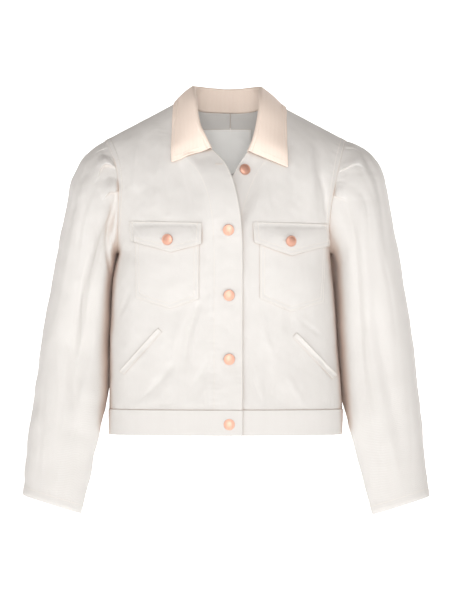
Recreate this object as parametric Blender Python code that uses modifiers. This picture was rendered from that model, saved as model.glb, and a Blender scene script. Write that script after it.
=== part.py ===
"""A cropped denim jacket with puffed, pleated sleeves and a corduroy collar, worn open at the neck.

The jacket keeps the hollow form that it has on a general figure. +Z is up, the front looks along -Y, and
the wearer's left is +X. The origin lies between the two points where the neckline meets the shoulder seams.
Every table is in millimetres and is turned into metres by table().
"""

import math

import bmesh
import bpy
import numpy as np
from mathutils import Vector
from mathutils.bvhtree import BVHTree

MM = 0.001
RIGHT, LEFT = -1, 1  # the wearer's sides
FRONT, BACK = -1, 1
SIDE_NAME = {RIGHT: "right", LEFT: "left"}

# Driving dimensions
DENIM = 1.6 * MM  # one layer of heavy cotton twill, felled seams included
BAND_THICKNESS = 2.6 * MM  # the waistband is folded double
COLLAR_THICKNESS = 2.4 * MM  # corduroy over its under collar
POCKET_THICKNESS = 1.2 * MM
FLAP_THICKNESS = 1.8 * MM
LABEL_THICKNESS = 1.0 * MM
SEAM_GAP = 0.3 * MM
LAY_GAP = 0.8 * MM  # between a panel and what is sewn onto it
HEM = -531 * MM
BAND_TOP = -491 * MM
NECK_HALF = 75 * MM  # from the middle to where the neckline meets the shoulder seam
SHOULDER_HALF = 192 * MM
SHOULDER_DROP = 62 * MM
SHOULDER_SET_BACK = 5 * MM
UNDERARM = -241 * MM
ARMHOLE_HALF = {FRONT: 60 * MM, BACK: 62 * MM}
SHOULDER_ROUND = {FRONT: 110 * MM, BACK: 90 * MM}  # how far below the seam the shoulder's curve ends
BACK_NECK_DROP = 16 * MM
BACK_SEAM = 8 * MM  # the centre back seam, which sits a little to the wearer's left
CHEST_POWER = 0.82  # under 1 makes the torso's section squarer than an ellipse
OVERLAP_LIFT = 3.8 * MM  # the right front lies on the left front
OPEN_NECK_LIFT = 7 * MM
OVERLAP_BAND = (-78 * MM, -45 * MM)  # from the right front's edge, where it starts and stops rising
SIDE_ROWS, FRONT_COLUMNS, BACK_COLUMNS = 11, 15, 9


def table(columns, rows):
    """A table in millimetres as {column name: array in metres}."""
    values = np.array(rows, float).T * MM
    return dict(zip(columns.split(), values, strict=True))


# The torso from the hem up: half widths to the side seams, and depths of the middle of the front and back.
TORSO = table(
    "height  right  left   front  back",
    [
        (-535, 184.5, 184.5, 115, 95),
        (-491, 184.8, 186.0, 114, 93),
        (-450, 184.6, 183.4, 113, 90),
        (-420, 184.5, 181.0, 112, 89),
        (-380, 184.0, 177.8, 113, 89),
        (-340, 182.2, 175.4, 115, 92),
        (-310, 180.8, 173.2, 117, 95),
        (-285, 179.0, 171.0, 119, 98),
        (-262, 175.4, 168.6, 120, 100),
        (-241, 170.0, 167.0, 120, 101),
        (-200, 170.0, 167.0, 117, 103),
        (-160, 170.0, 167.0, 110, 102),
        (-120, 170.0, 167.0, 99, 97),
        (-80, 170.0, 167.0, 86, 88),
        (-40, 170.0, 167.0, 74, 76),
        (-16, 170.0, 167.0, 69, 67),
        (0, 170.0, 167.0, 66, 62),
        (40, 170.0, 167.0, 66, 60),
    ],
)

# The armhole seams as seen from the front, from the underarm up.
ARMHOLE = table(
    "height  right  left",
    [
        (-241, 170.0, 167.0),
        (-213, 171.0, 164.6),
        (-173, 170.0, 167.4),
        (-141, 169.6, 173.2),
        (-107, 173.5, 180.2),
        (-85, 181.0, 186.0),
        (-62, 192.0, 192.0),
    ],
)

# The front edges from the waistband up to the neck's corner, then the necklines up to the shoulder.
RIGHT_EDGE = table(
    "height  across",
    [
        (-491, 27.2),
        (-237, 27.2),
        (-205, 25.8),
        (-173, 22.6),
        (-149, 18.2),
        (-125, 11.4),
        (-101, 0.4),
        (-77, -21.6),
    ],
)
RIGHT_NECKLINE = table(
    "height  across",
    [(-77, -21.6), (-60, -36), (-40, -52), (-20, -65), (-7, -72.5), (0, -75)],
)
LEFT_EDGE = table(
    "height  across",
    [(-491, -13.6), (-237, -13.6), (-181, -9), (-149, 0), (-117, 13), (-98, 24), (-82, 35)],
)
LEFT_NECKLINE = table("height  across", [(-82, 35), (-63, 50), (-40, 61), (-20, 69), (-7, 73.5), (0, 75)])

# Each sleeve's rings from the armhole to the cuff: the outer and inner end of the ring as seen from the
# front, and the middle and half of its depth from front to back.
SLEEVES = {
    RIGHT: table(
        "outer_x  outer_z  inner_x  inner_z  middle_y  half_y",
        [
            (-192, -62, -170, -241, 2.5, 61),
            (-211, -74, -174, -243, 3, 66),
            (-231, -94, -176.5, -249, 3, 71),
            (-246, -125, -178.5, -260, 4, 75),
            (-254, -165, -180.7, -274, 5, 77),
            (-262, -205, -183, -294, 6, 76),
            (-271, -253, -184.8, -321, 7, 73),
            (-280, -301, -186.2, -357, 8, 69),
            (-289, -349, -187.2, -396, 7, 65),
            (-295, -389, -187.8, -432, 4, 61),
            (-301, -437, -189, -468, -2, 56.5),
            (-308, -485, -196.5, -509, -9, 51),
            (-315, -533, -206.5, -552, -17, 45),
            (-319, -581, -216, -602, -26, 38),
            (-322.5, -627, -230, -656, -35, 32),
        ],
    ),
    LEFT: table(
        "outer_x  outer_z  inner_x  inner_z  middle_y  half_y",
        [
            (192, -62, 167, -241, 2.5, 61),
            (214, -70, 171, -243, 3, 66),
            (237.5, -88, 175, -249, 3, 71),
            (251.5, -113, 178, -260, 4, 75),
            (261, -150, 179, -274, 5, 77),
            (269, -197, 179, -294, 6, 76),
            (278, -245, 180, -321, 7, 73),
            (286.3, -296, 182, -357, 8, 69),
            (295, -344, 184.5, -396, 7, 65),
            (301, -389, 187, -432, 4, 61),
            (306, -437, 190, -468, -2, 56.5),
            (311.5, -485, 196, -509, -9, 51),
            (315.7, -533, 206.5, -552, -17, 45),
            (319.5, -581, 219, -602, -26, 38),
            (325, -629, 234, -658, -35, 32),
        ],
    ),
}
SLEEVE_RINGS = [0, 0.5, 1, 1.5, 2, 2.5, 3, 4, 5, 6, 7, 8, 9, 10, 11, 12, 13, 14]
FADE_OF_ARMHOLE = 4  # the ring by which the sleeve's section is a plain oval

# Knife pleats in the sleeve head, each a lip that faces down: degrees round the ring from the shoulder, the
# lip's height in millimetres, and the ring by which it has opened out. The back has the same ones.
PLEATS = [(28, 3.5, 2.0), (60, 7.5, 2.4), (85, 9.0, 2.2)]
PLEAT_RISE = 17  # degrees over which the cloth rises to a lip
PLEAT_DROP = 3
# The angles of the points from the shoulder to the underarm, on the sleeve's rings and the panels' armholes.
LIPS = [lip + step for lip, _, _ in PLEATS for step in (0, PLEAT_DROP)]
HEAD_ANGLES = np.array(sorted([0, 14, 40, 51, 76, 104, 117, 130, 143, 156, 168, 180] + LIPS))

# Long folds down a sleeve: the height in millimetres (negative for a hollow), the half width in degrees, and
# the rings and angles that the fold runs through. Angles past 180 are on the back.
SLEEVE_FOLDS = {
    RIGHT: [
        (-9.0, 12, [(0.9, 88), (1.5, 97), (2.5, 105), (3.8, 112), (5.3, 107), (6.5, 100), (8.3, 104)]),
        (4.0, 12, [(1.5, 134), (4.5, 138), (7.5, 126)]),
        (-4.5, 12, [(1.0, 107), (2.5, 128), (4.5, 158)]),
        (-4.0, 15, [(8.0, 75), (12.5, 120)]),
        (-7.0, 14, [(2.5, 255), (8.0, 275)]),
        (-4.0, 15, [(8.0, 270), (12.0, 245)]),
    ],
    LEFT: [
        (-6.5, 11, [(0.9, 91), (1.5, 97), (4.0, 110), (6.0, 113), (8.6, 119), (11, 116)]),
        (-5.0, 13, [(1.1, 18), (2.0, 38), (3.3, 43), (5.5, 50)]),
        (-4.5, 14, [(7.0, 90), (12.0, 72)]),
        (-7.0, 14, [(2.5, 258), (8.0, 270)]),
        (-4.0, 15, [(8.0, 275), (12.0, 240)]),
    ],
}

# How far the cloth at the back of each underarm lies towards the body, in millimetres, and the ring where
# that ends.
TOWARDS_BODY = {RIGHT: (11.0, 10.0), LEFT: (15.0, 10.5)}
UNDERARM_BACK = (206, 17)  # its middle and half width, in degrees round the ring

# Folds in the body panels, seen from the front: where each starts and ends, its height in millimetres
# (negative for a hollow) and its half width.
FRONT_FOLDS = table(
    "start_x  start_z  end_x  end_z  height  half_width",
    [
        (-42, -325, -64, -430, -3.0, 9),
        (-58, -325, -84, -420, 2.0, 10),
        (-86, -415, -114, -465, -2.5, 10),
        (-32, -425, -48, -470, -2.2, 9),
        (-128, -60, -126, -160, -3.0, 13),
        (-70, -100, -52, -180, -2.5, 14),
        (146, -62, 156, -170, -3.5, 9),
        (128, -60, 134, -180, 2.5, 11),
        (70, -120, 82, -185, -1.5, 14),
        (104, -320, 100, -366, -2.0, 9),
        (70, -400, 62, -480, -1.8, 12),
        (-150, -330, -160, -440, 1.8, 12),
    ],
)
BACK_FOLDS = table(
    "start_x  start_z  end_x  end_z  height  half_width",
    [
        (-140, -90, -120, -210, -4.0, 13),
        (142, -85, 124, -215, -4.0, 13),
        (-70, -180, -84, -330, 2.5, 16),
        (74, -200, 62, -350, 2.5, 16),
        (-120, -360, -90, -460, -3.0, 14),
        (110, -350, 128, -465, -3.0, 14),
        (26, -330, 20, -470, -2.5, 15),
    ],
)

# The collar's sections from the tip of the right leaf round the neck to the tip of the left leaf. Where is
# the place along the neckline, in its three stretches: 0 to 1 right front, 1 to 2 back, 2 to 3 left front.
COLLAR = {
    "where": [0, 0.22, 0.5, 0.78, 1.0, 1.22, 1.5, 1.78, 2.0, 2.22, 2.5, 2.78, 3.0],
    **table(
        "roll_x  roll_y  roll_z  edge_x  edge_y  edge_z",
        [
            (-23, -96, -75, -85, -88, -98),
            (-31, -92, -56, -85.5, -82, -80),
            (-40, -80, -36, -84.5, -60, -52),
            (-45, -52, -2, -81.5, -30, -23),
            (-47.5, 6, 21.5, -79, 8, 1.5),
            (-38, 37, 23, -70, 56, -20),
            (4, 52, 20.5, 8, 86, -38),
            (44, 37, 23, 78, 56, -22),
            (53, 6, 20.5, 95, 8, -9.5),
            (53, -52, -4, 95.5, -30, -27),
            (48, -80, -40, 97, -60, -58),
            (42, -92, -64, 98, -82, -86),
            (36, -96, -80, 98.5, -88, -106),
        ],
    ),
}
COLLAR_COLUMNS = 34
ROLL_RADIUS = 2.8 * MM
FALL_CLEARANCE = 2.7 * MM  # from the panels to the middle of the collar's cloth

# Chest pockets and their flaps, seen from the front, from the corner at the top and next to the front edge.
POCKETS = {
    RIGHT: table("x  z", [(-41.5, -201), (-42, -315), (-87, -330.5), (-141.5, -313), (-143, -201)]),
    LEFT: table("x  z", [(54.5, -203), (54.5, -314), (103.5, -335), (155, -320), (160, -203)]),
}
FLAPS = {
    RIGHT: table("x  z", [(-37, -195), (-37, -228), (-85, -240.5), (-147, -223), (-153.5, -192)]),
    LEFT: table("x  z", [(43.5, -194), (45.5, -226), (102.5, -246), (162.5, -230.5), (162.5, -196.5)]),
}
# Slanted welts over the hand pockets: the inner and outer end of the opening's line, and the welt's width.
WELTS = {
    RIGHT: table("x  z", [(-106.5, -361.5), (-168, -430)]),
    LEFT: table("x  z", [(113, -369), (177, -437)]),
}
WELT_WIDTH = 9 * MM
LABEL = {"left": -33 * MM, "right": 41 * MM, "top": -42 * MM, "bottom": -112 * MM}

# Buttons: where their middles show from the front. The top one is on the left front, where the neck is open.
FRONT_BUTTONS = table("x  z", [(5, -206.5), (5.8, -309.5), (6.1, -410.5), (6.1, -513.5)])
NECK_BUTTON = table("x  z", [(30.4, -111)])
FLAP_BUTTONS = {RIGHT: table("x  z", [(-91, -221.5)]), LEFT: table("x  z", [(103, -224)])}
# The button's turned section, from the middle of its face out over the rim and in to the shank.
BUTTON_PROFILE = table(
    "radius  height",
    [(0, 4.2), (3.4, 4.3), (6.0, 4.15), (7.7, 3.5), (8.8, 2.3), (8.5, 1.5), (4.4, 1.1), (4.0, 0.0), (0, 0.0)],
)
BUTTON_STEPS = 12


def smooth(value, low, high):
    k = np.clip((np.asarray(value, float) - low) / (high - low), 0, 1)
    return k * k * (3 - 2 * k)


def curve_through(knots, values):
    """A function for the smooth curve through values at rising knots, which doesn't overshoot them."""
    knots, values = np.asarray(knots, float), np.asarray(values, float)
    widths = np.diff(knots)
    slopes = np.diff(values) / widths
    tangents = np.concatenate([slopes[:1], np.zeros(len(slopes) - 1), slopes[-1:]])
    same_way = slopes[:-1] * slopes[1:] > 0
    tangents[1:-1][same_way] = 2 / (1 / slopes[:-1][same_way] + 1 / slopes[1:][same_way])

    def value_at(x):
        x = np.clip(np.asarray(x, float), knots[0], knots[-1])
        i = np.clip(np.searchsorted(knots, x, side="right") - 1, 0, len(widths) - 1)
        h = widths[i]
        t = (x - knots[i]) / h
        return (
            values[i] * (1 + 2 * t) * (1 - t) ** 2
            + tangents[i] * h * t * (1 - t) ** 2
            + values[i + 1] * t**2 * (3 - 2 * t)
            + tangents[i + 1] * h * t**2 * (t - 1)
        )

    return value_at


def unit(vectors):
    return vectors / np.linalg.norm(vectors, axis=-1, keepdims=True)


half_width = {side: curve_through(TORSO["height"], TORSO[SIDE_NAME[side]]) for side in (RIGHT, LEFT)}
middle_depth = {
    FRONT: curve_through(TORSO["height"], TORSO["front"]),
    BACK: curve_through(TORSO["height"], TORSO["back"]),
}
armhole_across = {side: curve_through(ARMHOLE["height"], ARMHOLE[SIDE_NAME[side]]) for side in (RIGHT, LEFT)}
ARMHOLE_MIDDLE = (UNDERARM - SHOULDER_DROP) / 2
ARMHOLE_RISE = (-SHOULDER_DROP - UNDERARM) / 2
SHOULDER_SLOPE = SHOULDER_DROP / (SHOULDER_HALF - NECK_HALF)


def shoulder_height(across):
    return -(np.abs(across) - NECK_HALF) * SHOULDER_SLOPE


def set_back(across, z):
    """The plane between front and back leans back from the underarm to the shoulder seam."""
    below = (shoulder_height(across) - z) / (-SHOULDER_DROP - UNDERARM)
    return SHOULDER_SET_BACK * np.clip(1 - below, 0, 1)


def shoulder_round(face, across, z):
    """From 0 on the shoulder line to 1 where the body has its full depth, as a quarter of an oval."""
    below = np.clip((shoulder_height(across) - z) / SHOULDER_ROUND[face], 0, 1)
    return np.sqrt(1 - (1 - below) ** 2)


def armhole_point(side, angle):
    """The armhole seam at an angle from the shoulder, which runs down the front. x is measured outwards."""
    z = ARMHOLE_MIDDLE + ARMHOLE_RISE * np.cos(angle)
    x = armhole_across[side](z)
    half = np.where(np.sin(angle) >= 0, ARMHOLE_HALF[FRONT], ARMHOLE_HALF[BACK])
    y = SHOULDER_SET_BACK * (1 + np.cos(angle)) / 2 - half * np.sin(angle)
    return np.stack([x, y, z], axis=-1)


def section_width(face, side, z):
    """Half the width of the section at z, which above the underarm is what carries the armhole seam."""
    z = np.minimum(z, -SHOULDER_DROP - 1 * MM)
    above = np.clip(z, UNDERARM, None)
    x = armhole_across[side](above)
    cosine = np.clip((above - ARMHOLE_MIDDLE) / ARMHOLE_RISE, -1, 1)
    seam_depth = ARMHOLE_HALF[face] * np.sqrt(1 - cosine**2)
    full_depth = middle_depth[face](above) * np.maximum(shoulder_round(face, x, above), 1e-3)
    share = np.clip(seam_depth / full_depth, 0, 0.97) ** (1 / CHEST_POWER)
    return np.where(z > UNDERARM, x / np.sqrt(1 - share**2), half_width[side](z))


def torso_point(face, side, turn, z):
    """The torso's surface where the section has turned from the middle (0) towards the side (a quarter)."""
    across = section_width(face, side, z) * np.sin(turn)
    depth = middle_depth[face](z) * np.abs(np.cos(turn)) ** CHEST_POWER * shoulder_round(face, across, z)
    return np.stack([across, set_back(across, z) + face * depth, z + np.zeros_like(across)], axis=-1)


def turn_at(face, side, across, z):
    return np.arcsin(np.clip(across / section_width(face, side, z), -1, 1))


def along_path(points):
    """A function that gives the point at a share of the length of a line of points."""
    lengths = np.concatenate([[0], np.cumsum(np.linalg.norm(np.diff(points, axis=0), axis=1))])
    shares = lengths / lengths[-1]

    def point_at(share):
        return np.stack([np.interp(share, shares, points[:, k]) for k in range(3)], axis=-1)

    return point_at, shares


def nearest_share(line, points):
    """The share of a line's length at each of some points that lie on it."""
    _, shares = along_path(line)
    return shares[np.linalg.norm(line[None] - points[:, None], axis=-1).argmin(axis=1)]


def surface_line(face, side, across, z):
    return torso_point(face, side, turn_at(face, side, across, z), z)


def front_inner_line(side):
    """The front edge and then the neckline, on the surface. x is measured outwards."""
    edge, neckline = (RIGHT_EDGE, RIGHT_NECKLINE) if side == RIGHT else (LEFT_EDGE, LEFT_NECKLINE)
    heights = [np.linspace(part["height"][0], part["height"][-1], 120) for part in (edge, neckline)]
    across = [curve_through(part["height"], part["across"])(z) for part, z in zip((edge, neckline), heights)]
    z = np.concatenate([heights[0], heights[1][1:]])
    x = np.concatenate([across[0], across[1][1:]]) * side
    points = surface_line(FRONT, side, x, z)
    return points, along_path(points)[1][len(heights[0]) - 1]


def back_inner_line(side):
    """The centre back seam and then the back neckline, on the surface."""
    seam_z = np.linspace(BAND_TOP, -BACK_NECK_DROP, 100)
    seam_x = np.full_like(seam_z, BACK_SEAM * side + SEAM_GAP / 2)
    neck_x = np.linspace(seam_x[-1], NECK_HALF, 60)[1:]
    share = (neck_x - seam_x[-1]) / (NECK_HALF - seam_x[-1])
    neck_z = -BACK_NECK_DROP * (1 - share**3.4)
    x, z = np.concatenate([seam_x, neck_x]), np.concatenate([seam_z, neck_z])
    points = surface_line(BACK, side, x, z)
    return points, along_path(points)[1][len(seam_z) - 1]


def outer_line(face, side):
    """The side seam and then the armhole seam, and the share of its length at which the armhole starts."""
    seam_z = np.linspace(BAND_TOP, UNDERARM, 80)
    seam = np.stack([half_width[side](seam_z), np.zeros_like(seam_z), seam_z], axis=-1)
    angle = np.linspace(math.pi, 0, 361)[1:] * -face
    points = np.concatenate([seam, armhole_point(side, angle)])
    _, shares = along_path(points)
    return points, shares[len(seam) - 1]


def fold_height(folds, x, z):
    """The sum of soft ridges and hollows, each along a line as seen from the front."""
    total = np.zeros_like(x)
    for row in zip(*folds.values()):
        start_x, start_z, end_x, end_z, height, half = row
        direction = np.array([end_x - start_x, end_z - start_z])
        length = np.linalg.norm(direction)
        direction = direction / length
        along = (x - start_x) * direction[0] + (z - start_z) * direction[1]
        off = (x - start_x) * direction[1] - (z - start_z) * direction[0]
        share = along / length
        ends = smooth(share, -0.25, 0.3) * (1 - smooth(share, 0.65, 1.25))
        total = total + height * np.exp(-((off / half) ** 2)) * ends
    return total


def overlap_lift(side, x, z):
    """How far the right front stands off the form where it laps the left, more where the neck is open."""
    if side == LEFT:
        return np.zeros_like(x)
    edge = curve_through(RIGHT_EDGE["height"], RIGHT_EDGE["across"])(z)
    near = smooth(x - edge, *OVERLAP_BAND)
    open_neck = smooth(z, -245 * MM, -150 * MM) * (1 - smooth(z, -120 * MM, -70 * MM))
    return near * (OVERLAP_LIFT + OPEN_NECK_LIFT * open_neck) * (1 - smooth(z, -85 * MM, -60 * MM))


class Panel:
    """A body panel, from its edge or centre seam and its neckline out to its side seam and armhole."""

    def __init__(self, face, side, columns):
        self.face, self.side = face, side
        inner, corner = front_inner_line(side) if face == FRONT else back_inner_line(side)
        outer, self.underarm_share = outer_line(face, side)
        inner_at, _ = along_path(inner)
        self.outer_at, _ = along_path(outer)
        below = np.linspace(0, self.underarm_share, SIDE_ROWS + 1)
        seam = armhole_point(side, np.radians(HEAD_ANGLES[::-1]) * -face)
        self.up = np.concatenate([below, nearest_share(outer, seam[1:])])
        self.corner = self.up[np.abs(self.up - corner).argmin()]
        self.inner_at = lambda up: inner_at(np.interp(up, [0, self.corner, 1], [0, corner, 1]))
        self.out = np.linspace(0, 1, columns + 1)

    def surface(self, out, up):
        """The outer surface without the seams' gaps. out and up run from 0 to 1."""
        inner, outer = self.inner_at(up), self.outer_at(up)
        start = turn_at(self.face, self.side, inner[..., 0], inner[..., 2])
        end = turn_at(self.face, self.side, outer[..., 0], outer[..., 2])
        share = (np.sin(start + (end - start) * out) - np.sin(start)) / (np.sin(end) - np.sin(start))
        across, z = (inner[..., k] + (outer[..., k] - inner[..., k]) * share for k in (0, 2))
        points = torso_point(self.face, self.side, turn_at(self.face, self.side, across, z), z)
        x = points[..., 0] * self.side
        folds = FRONT_FOLDS if self.face == FRONT else BACK_FOLDS
        calm = smooth(up, 0, 0.05) * smooth(1 - up, 0, 0.1) * smooth(1 - out, 0, 0.12)
        lift = fold_height(folds, x, z) * calm
        if self.face == FRONT:
            lift = lift + overlap_lift(self.side, x, z)
        points[..., 1] += self.face * lift
        points[..., 0] = x
        return points

    def walls(self):
        """The wall's outer and inner points, rows first, with each seam's shared direction at its edge."""
        out, up = np.meshgrid(self.out, self.up)
        outer = self.surface(out, up)
        normal = grid_normals(outer) * -(self.face * self.side)
        side, last = self.side, self.outer_at(self.up)
        outer[:, -1] = last * [side, 1, 1]
        normal[:, -1] = [side, 0, 0]
        normal[-1] = unit(np.array([side * SHOULDER_SLOPE, 0, 1]))
        if self.face == BACK:
            normal[:, 0, 0] = 0
            normal = unit(normal)
        armhole = self.up >= self.underarm_share - 1e-9
        normal[armhole, -1] = -armhole_inward(side, outer[armhole, -1])
        on_side_seam = (self.up <= self.underarm_share + 1e-6) | (self.up == 1)
        outer[on_side_seam, -1, 1] += self.face * SEAM_GAP / 2
        outer[-1, :-1, 1] += self.face * SEAM_GAP / 2
        return outer, outer - DENIM * normal


def armhole_inward(side, points):
    """The way both walls' edges go at an armhole seam: to its middle and, most at the underarm, inwards."""
    middle = np.array([0, SHOULDER_SET_BACK / 2, ARMHOLE_MIDDLE])
    towards = unit((middle - points) * [0, 1, 1])
    low = smooth((ARMHOLE_MIDDLE - points[..., 2]) / ARMHOLE_RISE, 0.2, 1)
    towards[..., 0] = -side * (0.35 + 0.3 * low)
    return towards


def sleeve_surface(side, ring, angle):
    """The outer surface at a ring, which needn't be whole, and an angle from the shoulder forwards."""
    rings = SLEEVES[side]
    knots = np.arange(len(rings["outer_x"]))
    at = {name: curve_through(knots, column)(ring) for name, column in rings.items()}
    middle_x, middle_z = (at["outer_x"] + at["inner_x"]) / 2, (at["outer_z"] + at["inner_z"]) / 2
    reach_x, reach_z = (at["outer_x"] - at["inner_x"]) / 2, (at["outer_z"] - at["inner_z"]) / 2
    cosine, sine = np.cos(angle), np.sin(angle)
    seam = armhole_point(side, angle) * [side, 1, 1]
    outer_x, inner_x = rings["outer_x"][0], rings["inner_x"][0]
    start_x = (outer_x + inner_x) / 2 + (outer_x - inner_x) / 2 * cosine
    start_y = rings["middle_y"][0] - rings["half_y"][0] * sine
    near_seam = 1 - smooth(ring, 0, FADE_OF_ARMHOLE)
    x = middle_x + reach_x * cosine + (seam[..., 0] - start_x) * near_seam
    x = x - side * towards_body(side, ring, angle)
    y = at["middle_y"] - at["half_y"] * sine + (seam[..., 1] - start_y) * near_seam
    z = middle_z + reach_z * cosine
    outward = cosine / (reach_x**2 + reach_z**2)
    out = unit(np.stack([reach_x * outward, -sine / at["half_y"], reach_z * outward], axis=-1))
    lift = pleat_height(ring, angle) + sleeve_fold_height(side, ring, angle)
    return np.stack([x, y, z], axis=-1) + out * lift[..., None]


def towards_body(side, ring, angle):
    push, last = TOWARDS_BODY[side]
    middle, half = UNDERARM_BACK
    off = (np.degrees(angle) % 360 - middle) / half
    ending = smooth(ring, last - 1.5, last + 1.5)
    return push * MM * np.exp(-(off**2)) * smooth(ring, 0.6, 2.4) * (1 - ending)


def pleat_height(ring, angle):
    degrees = np.degrees(angle) % 360
    folded = np.where(degrees > 180, 360 - degrees, degrees)
    total = np.zeros_like(folded)
    for lip, height, opened in PLEATS:
        above = lip - folded
        rising = smooth(PLEAT_RISE - above, 0, PLEAT_RISE)
        rise = np.where(above >= 0, rising, smooth(PLEAT_DROP + above, 0, PLEAT_DROP))
        total = total + rise * height * MM * smooth(ring, 0, 0.5) * (1 - smooth(ring, 1.0, opened))
    return total


def sleeve_fold_height(side, ring, angle):
    degrees = np.degrees(angle) % 360
    total = np.zeros_like(degrees + ring)
    for height, half, path in SLEEVE_FOLDS[side]:
        rings, angles = zip(*path)
        off = (degrees - curve_through(rings, angles)(ring) + 180) % 360 - 180
        starting = smooth(ring, rings[0] - 0.9, rings[0] + 1.2)
        ending = smooth(ring, rings[-1] - 1.5, rings[-1] + 1.5)
        total = total + height * MM * np.exp(-((off / half) ** 2)) * starting * (1 - ending)
    return total


def sleeve_walls(side):
    angles = np.concatenate([HEAD_ANGLES, 360 - HEAD_ANGLES[-2:0:-1]])
    angle, ring = np.meshgrid(np.radians(angles), np.array(SLEEVE_RINGS, float))
    outer = sleeve_surface(side, ring, angle)
    normal = grid_normals(np.concatenate([outer[:, -2:], outer, outer[:, :2]], axis=1))[:, 2:-2] * side
    normal[0] = -armhole_inward(side, outer[0])
    outer[0] += [side * SEAM_GAP * 1.5, 0, 0]
    return outer, outer - DENIM * normal


def grid_normals(grid):
    """The normal at each point of an open grid: the mean of those of the faces round it."""
    along, down = np.diff(grid, axis=1), np.diff(grid, axis=0)
    faces = unit(np.cross(along[:-1] + along[1:], down[:, :-1] + down[:, 1:]))
    padded = np.pad(faces, ((1, 1), (1, 1), (0, 0)), mode="edge")
    return unit(padded[:-1, :-1] + padded[1:, :-1] + padded[:-1, 1:] + padded[1:, 1:])


def cloth_object(name, outer, inner, material, ring=False):
    """A closed wall between two grids of points. ring joins each row's ends into a tube."""
    rows, columns = outer.shape[:2]
    mesh = bmesh.new()
    grids = [[[mesh.verts.new(point) for point in row] for row in grid] for grid in (outer, inner)]
    steps = range(columns if ring else columns - 1)

    def quad(*corners):
        mesh.faces.new(corners)

    for r in range(rows - 1):
        for c in steps:
            n = (c + 1) % columns
            a, b = grids
            quad(a[r][c], a[r][n], a[r + 1][n], a[r + 1][c])
            quad(b[r][c], b[r + 1][c], b[r + 1][n], b[r][n])
    for c in steps:
        n = (c + 1) % columns
        quad(grids[0][0][n], grids[0][0][c], grids[1][0][c], grids[1][0][n])
        quad(grids[0][-1][c], grids[0][-1][n], grids[1][-1][n], grids[1][-1][c])
    if not ring:
        for r in range(rows - 1):
            quad(grids[0][r][0], grids[0][r + 1][0], grids[1][r + 1][0], grids[1][r][0])
            quad(grids[0][r + 1][-1], grids[0][r][-1], grids[1][r][-1], grids[1][r + 1][-1])
    bmesh.ops.recalc_face_normals(mesh, faces=mesh.faces)
    return object_from(name, mesh, material)


def object_from(name, mesh, material):
    data = bpy.data.meshes.new(name)
    mesh.to_mesh(data)
    mesh.free()
    data.materials.append(material)
    data.shade_smooth()
    data.set_sharp_from_angle(angle=math.radians(50))
    made = bpy.data.objects.new(name, data)
    jacket.objects.link(made)
    return made


def solidified_object(name, grid, material, thickness):
    """An open grid of points whose thickness goes outwards, away from the panel that it is sewn to."""
    rows, columns = grid.shape[:2]
    mesh = bmesh.new()
    points = [[mesh.verts.new(point) for point in row] for row in grid]
    for r in range(rows - 1):
        for c in range(columns - 1):
            mesh.faces.new((points[r][c], points[r][c + 1], points[r + 1][c + 1], points[r + 1][c]))
    made = object_from(name, mesh, material)
    solidify = made.modifiers.new("thickness", "SOLIDIFY")
    solidify.thickness = thickness
    solidify.offset = 1
    solidify.use_even_offset = True
    return made


def surface_tree(grids):
    """A tree of the outer faces of several panels, for putting things on them."""
    points, faces = [], []
    for grid, turned in grids:
        rows, columns = grid.shape[:2]
        start = len(points)
        points += [Vector(point) for point in grid.reshape(-1, 3)]
        for r in range(rows - 1):
            for c in range(columns - 1):
                i = start + r * columns + c
                corners = (i, i + 1, i + columns + 1, i + columns)
                faces.append(corners[::-1] if turned else corners)
    return BVHTree.FromPolygons(points, faces)


def onto(tree, x, z, start_y, towards):
    """Where the line through (x, z) along Y meets a panel, and the normal there against that line."""
    place, normal, _, _ = tree.ray_cast(Vector((x, start_y, z)), Vector((0, towards, 0)))
    if place is None:
        raise ValueError(f"nothing to sew onto at x {x:.4f}, z {z:.4f}")
    return place, normal if normal.y * towards < 0 else -normal


def sewn_on(tree, columns_of_points, gap):
    """A grid on the front panels from rows of (x, z), moved out by the gap."""
    grid = []
    for row in columns_of_points:
        places = [onto(tree, x, z, -0.4, 1) for x, z in row]
        grid.append([place + normal * gap for place, normal in places])
    return np.array([[list(point) for point in row] for row in grid])


def even_shares(start, end, z, columns):
    """Shares of the way from one x to another on the front, spaced evenly round the torso."""
    side = RIGHT if start < 0 else LEFT
    turns = turn_at(FRONT, side, np.abs([start, end]), z)
    sines = np.sin(np.linspace(turns[0], turns[1], columns + 1))
    return (sines - sines[0]) / (sines[-1] - sines[0])


def pointed_patch(corners, rows, columns):
    """Rows of (x, z) that fill a patch whose lower edge comes to a point between its lower corners."""
    xs, zs = corners["x"], corners["z"]
    top = [(xs[0], zs[0]), (xs[4], zs[4])]
    low = [(xs[1], zs[1]), (xs[2], zs[2]), (xs[3], zs[3])]
    share_of_point = abs(low[1][0] - low[0][0]) / abs(low[2][0] - low[0][0])
    shares = even_shares(xs[0], xs[4], zs[0], columns)
    shares[np.abs(shares - share_of_point).argmin()] = share_of_point
    lower_x = np.interp(shares, [0, share_of_point, 1], [p[0] for p in low])
    lower_z = np.interp(shares, [0, share_of_point, 1], [p[1] for p in low])
    upper_x = np.interp(shares, [0, 1], [p[0] for p in top])
    upper_z = np.interp(shares, [0, 1], [p[1] for p in top])
    down = np.linspace(0, 1, rows + 1)[:, None]
    x = upper_x + (lower_x - upper_x) * down
    z = upper_z + (lower_z - upper_z) * down
    return np.stack([x, z], axis=-1)


def facing_front(grid):
    """The grid with its rows turned if needed, so that its faces look to the front."""
    first = np.cross(grid[0, 1] - grid[0, 0], grid[1, 0] - grid[0, 0])
    return grid if first[1] < 0 else grid[::-1]


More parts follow.
